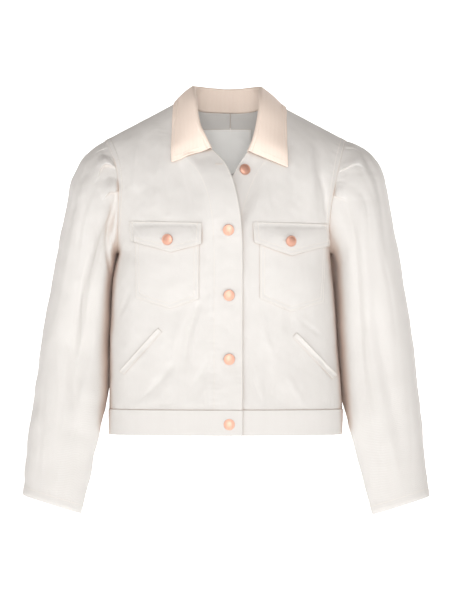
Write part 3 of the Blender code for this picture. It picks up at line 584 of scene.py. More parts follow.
def stitchTree():
    inputs = {"Seam": "Geometry", "Spacing": "Float", "Stitch Length": "Float", "Thickness": "Float"}
    inputs["Thread"] = "Material"
    tree, gin, gout = newGroup("stitches", "GeometryNodeTree", inputs, {"Stitches": "Geometry"})
    points = tree.nodes.new("GeometryNodeCurveToPoints")
    points.mode = "LENGTH"
    link(tree, gin.outputs["Seam"], points.inputs["Curve"])
    link(tree, gin.outputs["Spacing"], points.inputs["Length"])
    ball = tree.nodes.new("GeometryNodeMeshUVSphere")
    ball.inputs["Segments"].default_value = 6
    ball.inputs["Rings"].default_value = 4
    ball.inputs["Radius"].default_value = 0.5
    size = tree.nodes.new("ShaderNodeCombineXYZ")
    link(tree, gin.outputs["Thickness"], size.inputs[0])
    link(tree, gin.outputs["Thickness"], size.inputs[1])
    link(tree, gin.outputs["Stitch Length"], size.inputs[2])
    shaped = tree.nodes.new("GeometryNodeTransform")
    link(tree, ball.outputs["Mesh"], shaped.inputs["Geometry"])
    link(tree, size.outputs[0], shaped.inputs["Scale"])
    lie = tree.nodes.new("FunctionNodeAlignRotationToVector")
    lie.axis = "Z"
    link(tree, points.outputs["Tangent"], lie.inputs["Vector"])
    uneven = tree.nodes.new("FunctionNodeRandomValue")
    uneven.data_type = "FLOAT"
    uneven.inputs[2].default_value = 0.85
    uneven.inputs[3].default_value = 1.1
    uneven.inputs["Seed"].default_value = 7
    place = tree.nodes.new("GeometryNodeInstanceOnPoints")
    link(tree, points.outputs["Points"], place.inputs["Points"])
    link(tree, shaped.outputs["Geometry"], place.inputs["Instance"])
    link(tree, lie.outputs["Rotation"], place.inputs["Rotation"])
    link(tree, uneven.outputs[1], place.inputs["Scale"])
    real = tree.nodes.new("GeometryNodeRealizeInstances")
    finish = tree.nodes.new("GeometryNodeSetMaterial")
    link(tree, place.outputs["Instances"], real.inputs["Geometry"])
    link(tree, real.outputs["Geometry"], finish.inputs["Geometry"])
    link(tree, gin.outputs["Thread"], finish.inputs["Material"])
    link(tree, finish.outputs["Geometry"], gout.inputs["Stitches"])
    return tree


def wireAlong(name, lines):
    data = bpy.data.curves.new(name, "CURVE")
    data.dimensions = "3D"
    for points in lines:
        spline = data.splines.new("POLY")
        spline.points.add(len(points) - 1)
        spline.points.foreach_set("co", np.column_stack([points, np.ones(len(points))]).ravel())
    return placed(name, data)


def plainMesh(wire):  # the wire's finished mesh, in place of the wire
    made = bpy.data.meshes.new_from_object(wire.evaluated_get(bpy.context.evaluated_depsgraph_get()))
    bpy.data.objects.remove(wire)
    return made


def sew(name, lines):
    seam = wireAlong(name + "Seam", lines)
    tree = bpy.data.node_groups.get("stitches") or stitchTree()
    run = seam.modifiers.new("stitches", "NODES")
    run.node_group = tree
    given = {item.name: item.identifier for item in tree.interface.items_tree if item.in_out == "INPUT"}
    run[given["Spacing"]] = stitching["spacing"]
    run[given["Stitch Length"]] = stitching["length"]
    run[given["Thickness"]] = stitching["thickness"]
    run[given["Thread"]] = thread
    made = plainMesh(seam)
    made.shade_smooth()
    stitches = placed(name, made)
    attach(stitches, "root")
    print("  ", name, len(made.polygons), "faces")


# body panels
fronts = {
    "rightEdge": rowsOf(
        "height across",
        [
            (-491, 27.2),
            (-237, 27.2),
            (-205, 25.8),
            (-173, 22.6),
            (-149, 18.2),
            (-125, 11.4),
            (-101, 0.4),
            (-77, -21.6),
        ],
    ),
    "rightNeck": rowsOf(
        "height across",
        [(-77, -21.6), (-60, -36), (-40, -52), (-20, -65), (-7, -72.5), (0, -75)],
    ),
    "leftEdge": rowsOf(
        "height across",
        [(-491, -13.6), (-237, -13.6), (-181, -9), (-149, 0), (-117, 13), (-98, 24), (-82, 35)],
    ),
    "leftNeck": rowsOf(
        "height across",
        [(-82, 35), (-63, 50), (-40, 61), (-20, 69), (-7, 73.5), (0, 75)],
    ),
    "overlapLift": 3.8 * mm,
    "openNeckLift": 10 * mm,
    "overlapBand": (-78 * mm, -45 * mm),
    "placket": 45 * mm,
    "placketRise": 0.7 * mm,
    "facing": (34 * mm, 36 * mm),  # from the left edge, where the doubled cloth ends
    "columns": 104,
    "rows": 190,
    "cornerAt": 0.80,  # the share of the panel's height where the neckline starts
}
backs = {
    "columns": 70,
    "rows": 160,
    "cornerAt": 0.86,
    "seamWidth": (8 * mm, 9.4 * mm),
    "grooveAt": 0.004,  # the pressed-open seam shows as a groove inside the neck
    "grooveShare": 0.2,
}
sewing = {
    "doubled": 0.5 * mm,  # how far doubled cloth stands up
    "armhole": 0.55 * mm,
    "width": (8 * mm, 9.6 * mm),  # of the doubled cloth beside a seam
    "lines": (1.8 * mm, 8.0 * mm),
    "backLines": (1.6 * mm, 7.6 * mm),
    "edgeLine": 2.0 * mm,
    "leftFacingLine": 34 * mm,
    "above": 0.15 * mm,
    "unevenness": [(52 * mm, 3, 0.55 * mm), (19 * mm, 9, 0.16 * mm)],  # size, seed and height
}
creaseDepth = 1.5  # times the heights in the tables of creases
frontFolds = rowsOf(
    "startX startZ endX endZ height halfWidth bow",
    [
        (-42, -325, -64, -430, -3.0, 9, 6),
        (-58, -325, -84, -420, 2.0, 10, 3),
        (-86, -415, -114, -465, -2.5, 10, 0),
        (-32, -425, -48, -470, -2.2, 9, 0),
        (-128, -60, -126, -160, -3.0, 13, 0),
        (-70, -100, -52, -180, -2.5, 14, 0),
        (146, -62, 156, -170, -3.5, 9, 0),
        (128, -60, 134, -180, 2.5, 11, 0),
        (70, -120, 82, -185, -1.5, 14, 0),
        (104, -320, 100, -366, -2.0, 9, 0),
        (70, -400, 62, -480, -1.8, 12, 0),
        (-150, -330, -160, -440, 1.8, 12, 0),
    ],
)
frontCreases = rowsOf(
    "startX startZ endX endZ height halfWidth bow",
    [
        (-44, -322, -62, -412, -1.1, 3.5, 5),
        (-36, -330, -52, -400, 0.8, 4, 4),
        (-84, -419, -132, -472, -0.9, 3.5, -3),
        (-30, -416, -50, -454, -0.8, 3, 0),
        (-28, -464, -25, -488, -0.6, 2.5, 0),
        (-120, -395, -156, -432, 0.7, 4, 0),
        (-150, -300, -170, -345, -0.8, 4, 0),
        (-96, -66, -92, -150, -0.7, 6, 3),
        (-140, -70, -144, -135, 0.8, 5, 2),
        (-60, -120, -36, -172, 0.6, 5, 3),
        (150, -120, 160, -182, -1.3, 4, -3),
        (136, -80, 140, -150, 0.8, 5, 0),
        (100, -70, 108, -150, -0.7, 6, 2),
        (60, -130, 72, -180, 0.6, 5, 0),
        (120, -350, 150, -372, -0.7, 4, 0),
        (60, -345, 74, -400, 0.8, 5, 4),
        (40, -420, 58, -482, -0.7, 4, 3),
        (100, -440, 124, -484, 0.7, 5, 0),
        (150, -395, 166, -440, -0.8, 4, 2),
        (28, -250, 36, -330, 0.5, 5, 0),
        (-24, -250, -30, -320, -0.5, 5, 0),
    ],
)
neckTrough = rowsOf("startX startZ endX endZ height halfWidth bow", [(46, -88, 25, -186, -6.5, 11, -5)])
backFolds = rowsOf(
    "startX startZ endX endZ height halfWidth bow",
    [
        (-140, -90, -120, -210, -4.0, 13, 0),
        (142, -85, 124, -215, -4.0, 13, 0),
        (-70, -180, -84, -330, 2.5, 16, 0),
        (74, -200, 62, -350, 2.5, 16, 0),
        (-120, -360, -90, -460, -3.0, 14, 0),
        (110, -350, 128, -465, -3.0, 14, 0),
        (26, -330, 20, -470, -2.5, 15, 0),
    ],
)
backCreases = rowsOf(
    "startX startZ endX endZ height halfWidth bow",
    [
        (-150, -110, -136, -190, -1.2, 4, 3),
        (150, -100, 134, -185, -1.2, 4, -3),
        (-110, -90, -96, -150, 0.8, 6, 0),
        (112, -86, 98, -160, 0.8, 6, 0),
        (-60, -60, -20, -84, -0.7, 6, 4),
        (30, -84, 74, -60, -0.7, 6, 4),
        (-110, -250, -124, -330, -0.9, 5, 4),
        (104, -260, 120, -345, -0.9, 5, -4),
        (-50, -360, -64, -440, -0.8, 4, 3),
        (60, -380, 76, -456, 0.8, 5, 0),
        (-140, -420, -120, -480, 0.8, 5, 0),
        (140, -400, 130, -470, -0.9, 4, 0),
        (14, -240, 26, -320, 0.6, 5, 3),
        (-20, -420, -12, -484, -0.6, 4, 0),
    ],
)


def foldHeight(folds, x, z):
    total = np.zeros_like(x)
    for startX, startZ, endX, endZ, height, half, bow in zip(*folds.values()):
        way = np.array([endX - startX, endZ - startZ])
        length = np.linalg.norm(way)
        way = way / length
        along = (x - startX) * way[0] + (z - startZ) * way[1]
        share = np.clip(along / length, 0, 1)
        off = (x - startX) * way[1] - (z - startZ) * way[0] - bow * 4 * share * (1 - share)
        ends = smooth(along, -0.25 * length, 0.3 * length) * (1 - smooth(along, 0.65 * length, 1.25 * length))
        total = total + height * np.exp(-((off / half) ** 2)) * ends
    return total


def overlapLift(side, x, z):
    if side == left:
        return np.zeros_like(x)
    edge = byHeight(fronts["rightEdge"], "across")(z)
    near = smooth(x - edge, *fronts["overlapBand"])
    openNeck = smooth(z, -245 * mm, -150 * mm) * (1 - smooth(z, -120 * mm, -70 * mm))
    lift = fronts["overlapLift"] + fronts["openNeckLift"] * openNeck
    return near * lift * (1 - smooth(z, -85 * mm, -60 * mm))


def innerLine(face, side):
    if face == front:
        edge, neck = fronts[sideName[side] + "Edge"], fronts[sideName[side] + "Neck"]
        heights = [np.linspace(part["height"][0], part["height"][-1], 160) for part in (edge, neck)]
        across = [byHeight(part, "across")(z) for part, z in zip((edge, neck), heights)]
        z = np.concatenate([heights[0], heights[1][1:]])
        x = np.concatenate([across[0], across[1][1:]]) * side
        cornerAt = len(heights[0]) - 1
    else:
        seamZ = np.linspace(torso["bandTop"], -torso["backNeckDrop"], 160)
        seamX = np.full_like(seamZ, torso["backSeam"] * side + cloth["seamGap"] / 2)
        neckX = np.linspace(seamX[-1], torso["neckHalf"], 80)[1:]
        share = (neckX - seamX[-1]) / (torso["neckHalf"] - seamX[-1])
        x = np.concatenate([seamX, neckX])
        z = np.concatenate([seamZ, -torso["backNeckDrop"] * (1 - share**3.4)])
        cornerAt = len(seamZ) - 1
    points = torsoPoint(face, side, turnAt(face, side, x, z), z)
    return points, alongPath(points)[1][cornerAt]


def outerLine(face, side):
    seamZ = np.linspace(torso["bandTop"], torso["underarm"], 100)
    seam = np.stack([halfWidth[side](seamZ), np.zeros_like(seamZ), seamZ], axis=-1)
    angle = np.linspace(math.pi, 0, 361)[1:] * -face
    points = np.concatenate([seam, armholePoint(side, angle)])
    return points, alongPath(points)[1][len(seam) - 1]


def armholeInward(side, points):
    middle = np.array([0, torso["setBack"] / 2, armholeMiddle])
    towards = unit((middle - points) * [0, 1, 1])
    low = smooth((armholeMiddle - points[..., 2]) / armholeRise, 0.2, 1)
    towards[..., 0] = -side * (0.35 + 0.3 * low)
    return towards


def closerAtEnds(count, pull=0.35):  # shares from 0 to 1, closer together at both ends
    t = np.linspace(0, 1, count)
    return t - pull * np.sin(2 * math.pi * t) / (2 * math.pi)


def pucker(along, off, spacing, reach, seed):  # small ripples beside a row of stitches
    dice = np.random.default_rng(seed)
    wander = np.zeros_like(along)
    for _ in range(4):
        turn = 2 * math.pi / (0.05 * dice.uniform(0.5, 1.6))
        wander = wander + np.sin(along * turn + dice.uniform(0, 6.3))
    return np.sin(along * 2 * math.pi / spacing + wander) * np.exp(-((off / reach) ** 2))


def uneven(points, waves, side):
    return sum(ripple(points, size, seed + side) * height for size, seed, height in waves)


def fadesIn(distance, start, end):
    return smooth(distance, start * mm, end * mm)


def makePanel(face, side):
    inner, corner = innerLine(face, side)
    outer, underarm = outerLine(face, side)
    innerAt, outerAt = alongPath(inner)[0], alongPath(outer)[0]
    sizes = fronts if face == front else backs
    rows = np.unique(np.concatenate([closerAtEnds(sizes["rows"]), [underarm, 0.81]]))
    columns = closerAtEnds(sizes["columns"])
    if face == back:
        columns = np.insert(columns, 1, backs["grooveAt"])
    cornerRow = rows[np.abs(rows - sizes["cornerAt"]).argmin()]
    out, high = np.meshgrid(columns, rows)
    a = innerAt(np.interp(high, [0, cornerRow, 1], [0, corner, 1]))
    b = outerAt(high)
    start, end = turnAt(face, side, a[..., 0], a[..., 2]), turnAt(face, side, b[..., 0], b[..., 2])
    share = (np.sin(start + (end - start) * out) - np.sin(start)) / (np.sin(end) - np.sin(start))
    x, z = (a[..., k] + (b[..., k] - a[..., k]) * share for k in (0, 2))
    points = torsoPoint(face, side, turnAt(face, side, x, z), z)
    seen = points[..., 0] * side
    calm = smooth(high, 0, 0.05) * smooth(1 - high, 0, 0.1) * smooth(1 - out, 0, 0.12)
    lift = foldHeight(frontFolds if face == front else backFolds, seen, z) * calm
    if face == front:
        lift = lift + overlapLift(side, seen, z)
        lift = lift + (foldHeight(neckTrough, seen, z) * smooth(out, 0, 0.06) if side == left else 0)
    points[..., 1] += face * lift
    points[..., 0] = seen
    points[:, -1] = b[:, -1] * [side, 1, 1]
    normal = gridNormals(points) * -(face * side)
    fromInner, fromBottom = arcLengths(points, 1), arcLengths(points, 0)
    fromOuter, fromTop = fromInner[:, -1:] - fromInner, fromBottom[-1:] - fromBottom
    creases = foldHeight(frontCreases if face == front else backCreases, seen, z) * creaseDepth
    calm = fadesIn(fromOuter, 1, 14) * fadesIn(fromBottom, 1, 10) * fadesIn(fromTop, 1, 10)
    fine = (creases + uneven(points, sewing["unevenness"], side)) * calm
    fine = fine + sewing["armhole"] * (1 - smooth(fromOuter, *sewing["width"])) * fadesIn(fromTop, 0, 4)
    besideSeam = pucker(fromBottom, fromOuter - 10 * mm, 12 * mm, 9 * mm, 21 + side)
    fine = fine + besideSeam * 0.12 * mm * fadesIn(fromOuter, 2, 8)
    fine = fine + sewing["doubled"] * (1 - smooth(fromTop, *sewing["width"]))
    aboveBand = pucker(fromInner, fromBottom - 3 * mm, 8 * mm, 12 * mm, 31 + side)
    fine = fine + aboveBand * 0.34 * mm * fadesIn(fromBottom, 0, 4)
    rise, doubledTo = sewing["doubled"], backs["seamWidth"]
    if face == front:
        doubledTo = fronts["facing"]
    if face == front and side == right:
        rise, doubledTo = fronts["placketRise"], (fronts["placket"], fronts["placket"] + 1.6 * mm)
        fine = fine + pucker(fromBottom, fromInner - 46 * mm, 10 * mm, 8 * mm, 41) * 0.18 * mm
    fine = fine + rise * (1 - smooth(fromInner, *doubledTo)) * (high < cornerRow)
    if face == front:
        fine = fine + pucker(fromBottom, fromInner - 3 * mm, 9 * mm, 8 * mm, 51 + side) * 0.16 * mm
    points = points + normal * fine[..., None]
    normal = gridNormals(points) * -(face * side)
    inward = normal.copy()
    inward[:, -1] = [side, 0, 0]
    inward[-1] = unit(np.array([side * shoulderSlope, 0, 1]))
    if face == back:
        inward[:, 0, 0] = 0
        inward = unit(inward)
    at = rows >= underarm - 1e-9
    inward[at, -1] = -armholeInward(side, points[at, -1])
    gapY = face * cloth["seamGap"] / 2
    points[:, -1, 1] += np.where((rows > underarm) & (rows < 1), 0, gapY)
    points[-1, :-1, 1] += gapY
    uv = np.stack([fromInner, fromBottom], -1)
    name = ("front" if face == front else "back") + "_" + sideName[side]
    inside = points - cloth["denim"] * inward
    if face == back:
        inside[:, 0] = points[:, 0] + (inside[:, 0] - points[:, 0]) * backs["grooveShare"]
    made = clothWall(name + "_cloth", points, inside, uv, denim, edgeRound=0.15)
    keepSheet(made, [name])
    return {
        "grid": points,
        "inside": inside,
        "normal": normal,
        "fromInner": fromInner,
        "fromOuter": fromOuter,
        "fromTop": fromTop,
        "rows": rows,
        "underarm": underarm,
        "corner": cornerRow,
    }


def lineAcrossRows(panel, key, distance, keep):  # one point a row, at a distance from an edge
    line = []
    raised = panel["grid"] + panel["normal"] * sewing["above"]
    for r in np.nonzero(keep)[0]:
        far = panel[key][r]
        order = np.argsort(far)
        if far.min() <= distance <= far.max():
            line.append([np.interp(distance, far[order], raised[r, order, k]) for k in range(3)])
    return np.array(line)


def lineAcrossColumns(panel, key, distance, keep):
    turned = {k: np.swapaxes(panel[k], 0, 1) for k in ("grid", "normal", key)}
    return lineAcrossRows(turned, key, distance, keep)


print("cutting the body")
panels = {}
for side in (right, left):
    panels[front, side] = makePanel(front, side)
    panels[back, side] = makePanel(back, side)

for (face, side), panel in panels.items():
    rows, columns = panel["rows"], np.ones(panel["grid"].shape[1], bool)
    above = rows >= panel["underarm"]
    lines = [lineAcrossRows(panel, "fromOuter", far, above) for far in sewing["lines"]]
    if face == back:
        lines += [lineAcrossRows(panel, "fromOuter", far, ~above) for far in sewing["lines"]]
        lines += [lineAcrossColumns(panel, "fromTop", far, columns) for far in sewing["lines"]]
    below = rows <= panel["corner"]
    fromEdge = (sewing["edgeLine"], fronts["placket"] if side == right else sewing["leftFacingLine"])
    if face == back:
        fromEdge = sewing["backLines"] if side == left else ()
    lines += [lineAcrossRows(panel, "fromInner", far, below) for far in fromEdge]
    seamLines += [line for line in lines if len(line) > 2]

# waistband
waistband = {
    "columns": 560,
    "rows": 30,
    "gap": cloth["seamGap"] * 0.5,
    "plump": 0.35 * mm,
    "rope": 0.42 * mm,
    "lines": [("up", 2.0 * mm), ("up", 7.5 * mm), ("down", 2.2 * mm)],
    "endLine": 2.2 * mm,
}


def makeWaistband():
    tall = torso["bandTop"] - waistband["gap"] - torso["hem"]
    heights = torso["hem"] + tall * closerAtEnds(waistband["rows"])
    quarter, n = math.pi / 2, waistband["columns"] // 4
    grid = []
    for z in heights:
        ends = [
            turnAt(front, right, -fronts["rightEdge"]["across"][0], z),
            turnAt(front, left, fronts["leftEdge"]["across"][0], z),
        ]
        stretches = [
            (front, right, np.linspace(ends[0], quarter, n)[:-1]),
            (back, right, np.linspace(quarter, 0, n)[:-1]),
            (back, left, np.linspace(0, quarter, n)[:-1]),
            (front, left, np.linspace(quarter, ends[1], n)),
        ]
        row = []
        for face, side, turns in stretches:
            points = torsoPoint(face, side, turns, np.full_like(turns, z))
            points[:, 0] *= side
            if face == front:
                points[:, 1] -= overlapLift(side, points[:, 0], np.full_like(turns, torso["bandTop"]))
            row.append(points)
        grid.append(np.concatenate(row))
    middle = np.array(grid)
    normal = gridNormals(middle)
    along, up = arcLengths(middle, 1), arcLengths(middle, 0)
    height = up[-1, 0]
    outwards = (cloth["band"] - cloth["denim"]) / 2
    plump = np.sin(math.pi * np.clip(up / height, 0, 1)) ** 0.5 * waistband["plump"]
    rope = pucker(along + up * 0.6, up - 0.2 * height, 9 * mm, 0.5 * height, 61) * waistband["rope"]
    rope = rope + pucker(along, up - height, 8 * mm, 0.3 * height, 62) * 0.25 * mm
    rope = rope + ripple(middle, 40 * mm, 5) * 0.2 * mm
    outer = middle + normal * (outwards + plump + rope * fadesIn(up, 0, 3))[..., None]
    inner = middle - normal * (cloth["band"] - outwards)
    uv = np.stack([up, along], -1)
    made = clothWall("waistband_cloth", outer, inner, uv, denim, edgeRound=0.12)
    keepSheet(made, ["waistband"])
    band = {"grid": outer, "normal": gridNormals(outer), "up": up, "down": height - up}
    band |= {"along": along, "back": along[:, -1:] - along}
    rows, columns = (np.ones(count, bool) for count in outer.shape[:2])
    for key, distance in waistband["lines"]:
        seamLines.append(lineAcrossColumns(band, key, distance, columns))
    for key in ("along", "back"):
        seamLines.append(lineAcrossRows(band, key, waistband["endLine"], rows))
    return outer


bandGrid = makeWaistband()

# sleeves
sleeves = {
    "rings": {
        right: rowsOf(
            "outerX outerZ innerX innerZ middleY halfY",
            [
                (-192, -62, -170, -241, 2.5, 61),
                (-211, -74, -174, -243, 3, 66),
                (-231, -94, -176.5, -249, 3, 71),
                (-246, -125, -178.5, -260, 4, 75),
                (-254, -165, -180.7, -274, 5, 77),
                (-262, -205, -183, -294, 6, 76),
                (-271, -253, -184.8, -321, 7, 73),
                (-280, -301, -186.2, -357, 8, 69),
                (-289, -349, -187.2, -396, 7, 65),
                (-295, -389, -187.8, -432, 4, 61),
                (-301, -437, -189, -468, -2, 56.5),
                (-308, -485, -196.5, -509, -9, 51),
                (-315, -533, -206.5, -552, -17, 45),
                (-319, -581, -216, -602, -26, 38),
                (-322.5, -627, -230, -656, -35, 32),
            ],
        ),
        left: rowsOf(
            "outerX outerZ innerX innerZ middleY halfY",
            [
                (192, -62, 167, -241, 2.5, 61),
                (214, -70, 171, -243, 3, 66),
                (237.5, -88, 175, -249, 3, 71),
                (251.5, -113, 178, -260, 4, 75),
                (261, -150, 179, -274, 5, 77),
                (269, -197, 179, -294, 6, 76),
                (278, -245, 180, -321, 7, 73),
                (286.3, -296, 182, -357, 8, 69),
                (295, -344, 184.5, -396, 7, 65),
                (301, -389, 187, -432, 4, 61),
                (306, -437, 190, -468, -2, 56.5),
                (311.5, -485, 196, -509, -9, 51),
                (315.7, -533, 206.5, -552, -17, 45),
                (319.5, -581, 219, -602, -26, 38),
                (325, -629, 234, -658, -35, 32),
            ],
        ),
    },
    "armholeFades": 4,
    "towardsBody": {right: (11 * mm, 10.0), left: (15 * mm, 10.5)},  # at the back, and its last ring
    "pleatRise": 17,
    "pleatDrop": 3.0,
    "lap": 1.3,  # degrees that a pleat's lip laps over the cloth below it
    "pleats": {  # height, the ring where it starts to open out and has opened, and its lip's rings and angles
        right: [
            (0.8, 0.5, 1.6, [(0, 28), (1.0, 24), (3.0, 22)]),
            (6.5, 0.95, 1.9, [(0, 60), (0.4, 54.5), (0.8, 50), (1.1, 51), (1.6, 58), (3.0, 62)]),
            (8.5, 0.85, 1.8, [(0, 84), (0.5, 83), (0.9, 81), (1.3, 82), (3.0, 84)]),
        ],
        left: [
            (0.8, 0.5, 1.6, [(0, 30), (1.0, 22), (3.0, 20)]),
            (3.2, 0.7, 2.0, [(0, 64.5), (0.7, 56), (1.4, 45), (3.0, 38)]),
            (5.5, 0.55, 1.5, [(0, 88.5), (0.6, 88), (1.0, 88), (3.0, 84)]),
        ],
    },
    "folds": {  # height, half width in degrees, and the fold's rings and angles
        right: [
            (
                -11,
                15,
                [
                    (0.5, 101),
                    (1.0, 114),
                    (1.5, 121),
                    (2.5, 126),
                    (4.3, 123),
                    (6.5, 112),
                    (8.3, 105),
                    (10, 95),
                ],
            ),
            (-4.5, 10, [(0.8, 104), (1.5, 116), (2.5, 134), (4.5, 162)]),
            (-4.0, 13, [(8.0, 75), (12.5, 120)]),
            (-7.0, 14, [(2.5, 255), (8.0, 275)]),
            (-4.0, 15, [(8.0, 270), (12.0, 245)]),
        ],
        left: [
            (-5.0, 11, [(0.9, 91), (1.5, 97), (4.0, 110), (6.0, 113), (8.6, 119), (11, 116)]),
            (-4.5, 11, [(1.1, 18), (2.0, 36), (3.3, 42), (5.5, 50)]),
            (-2.5, 14, [(1.4, 66), (2.4, 68), (4.5, 74), (7.0, 80), (9, 84)]),
            (-4.5, 13, [(7.0, 90), (12.0, 72)]),
            (-7.0, 14, [(2.5, 258), (8.0, 270)]),
            (-4.0, 15, [(8.0, 275), (12.0, 240)]),
        ],
    },
    "creases": {
        right: [
            (-3.2, 4.0, [(0.5, 94), (1.5, 112), (3.6, 117), (5.3, 110)]),
            (-2.2, 4.0, [(5.6, 106), (6.6, 99), (8.3, 104), (9.3, 96)]),
            (2.0, 5, [(4.2, 101), (6.0, 90), (8.0, 90)]),
            (-1.8, 5, [(1.6, 62), (3.0, 70), (5.0, 72)]),
            (-1.5, 6, [(1.2, 36), (3.4, 44), (5.5, 40)]),
            (1.6, 8, [(2.0, 52), (4.5, 56), (8.0, 50)]),
            (-1.7, 4, [(6.5, 122), (8.2, 118), (10.5, 98)]),
            (-1.5, 5, [(8.5, 60), (10.2, 76), (12.0, 84)]),
            (1.4, 6, [(9.5, 112), (11.5, 104), (13.2, 92)]),
            (-1.4, 5, [(10.2, 40), (12.0, 52), (13.5, 58)]),
            (-1.2, 5, [(11.0, 122), (12.5, 108), (13.6, 110)]),
            (1.2, 9, [(2.0, 18), (7.0, 14), (10.0, 20)]),
            (-2.2, 5, [(2.0, 262), (4.0, 276), (6.5, 282)]),
            (1.5, 8, [(5.0, 300), (9.0, 292)]),
            (-1.8, 5, [(8.0, 250), (10.0, 266), (12.5, 272)]),
            (-1.6, 5, [(1.5, 300), (3.5, 318), (6.0, 312)]),
        ],
        left: [
            (-2.4, 4.0, [(0.9, 92), (2.2, 103), (4.5, 112)]),
            (-1.8, 4.0, [(4.6, 112), (7.0, 116), (9.5, 119), (11.5, 114)]),
            (-1.8, 4.5, [(1.1, 74), (2.4, 72), (4.2, 82)]),
            (1.8, 6, [(2.5, 98), (5.0, 94), (8.0, 100)]),
            (-1.6, 5, [(1.0, 44), (2.2, 56), (4.2, 58)]),
            (-1.6, 5, [(5.0, 64), (7.0, 56), (9.8, 62)]),
            (1.4, 7, [(7.0, 80), (9.0, 74), (11.5, 66)]),
            (-1.6, 4.5, [(7.6, 108), (9.8, 102), (12.0, 92)]),
            (-1.3, 5, [(10.2, 46), (12.0, 50), (13.5, 62)]),
            (1.3, 6, [(10.8, 102), (12.2, 88), (13.6, 84)]),
            (-1.2, 5, [(11.8, 118), (13.2, 104)]),
            (1.1, 9, [(2.0, 14), (6.5, 10), (9.0, 16)]),
            (-2.2, 5, [(2.0, 264), (4.2, 276), (6.5, 280)]),
            (1.5, 8, [(5.0, 300), (9.0, 292)]),
            (-1.8, 5, [(8.0, 250), (10.0, 264), (12.5, 272)]),
            (-1.6, 5, [(1.5, 304), (3.5, 316), (6.0, 308)]),
        ],
    },
    "creaseShare": {right: 0.55, left: 0.4},
    "hem": 13 * mm,
    "flatness": 0.15,  # how far the front is flatter than an ellipse
    "degrees": [  # start, end and step, closest over the tucks in front
        (0, 20, 2.5),
        (20, 96, 0.8),
        (96, 180, 2.2),
        (180, 182, 2.5),
        (182.5, 264, 2.8),
        (264, 344, 1.6),
        (344, 359, 2.8),
    ],
    "headRows": 90,
    "rows": 185,
    "unevenness": [(50 * mm, 13, 0.55 * mm), (18 * mm, 17, 0.15 * mm)],
}


def towardsBody(side, ring, degrees):
    push, last = sleeves["towardsBody"][side]
    off = (degrees - 206) / 17
    return push * np.exp(-(off**2)) * smooth(ring, 0.6, 2.4) * (1 - smooth(ring, last - 1.5, last + 1.5))


def spiralFolds(table, ring, degrees):
    total = np.zeros_like(degrees + ring)
    for height, half, path in table:
        rings, angles = zip(*path)
        off = (degrees - curveThrough(rings, angles)(ring) + 180) % 360 - 180
        ends = smooth(ring, rings[0] - 0.9, rings[0] + 1.2)
        ends = ends * (1 - smooth(ring, rings[-1] - 1.5, rings[-1] + 1.5))
        total = total + height * mm * np.exp(-((off / half) ** 2)) * ends
    return total


def pleatShape(side, ring, folded):  # the height of the pleats, and how far their lips lap over
    height, lap = np.zeros_like(folded), np.zeros_like(folded)
    for high, opening, opened, path in sleeves["pleats"][side]:
        rings, angles = zip(*path)
        above = curveThrough(rings, angles)(ring) - folded
        rise = np.where(
            above >= 0,
            smooth(sleeves["pleatRise"] - above, 0, sleeves["pleatRise"]),
            smooth(sleeves["pleatDrop"] + above, 0, sleeves["pleatDrop"]),
        )
        fade = smooth(ring, 0, 0.35) * (1 - smooth(ring, opening, opened))
        height = height + rise * high * mm * fade
        overLip = np.exp(-(((above - 0.6) / 1.6) ** 2)) - 0.8 * np.exp(-(((above + 2.6) / 1.3) ** 2))
        lap = lap + sleeves["lap"] * fade * overLip
    return height, lap


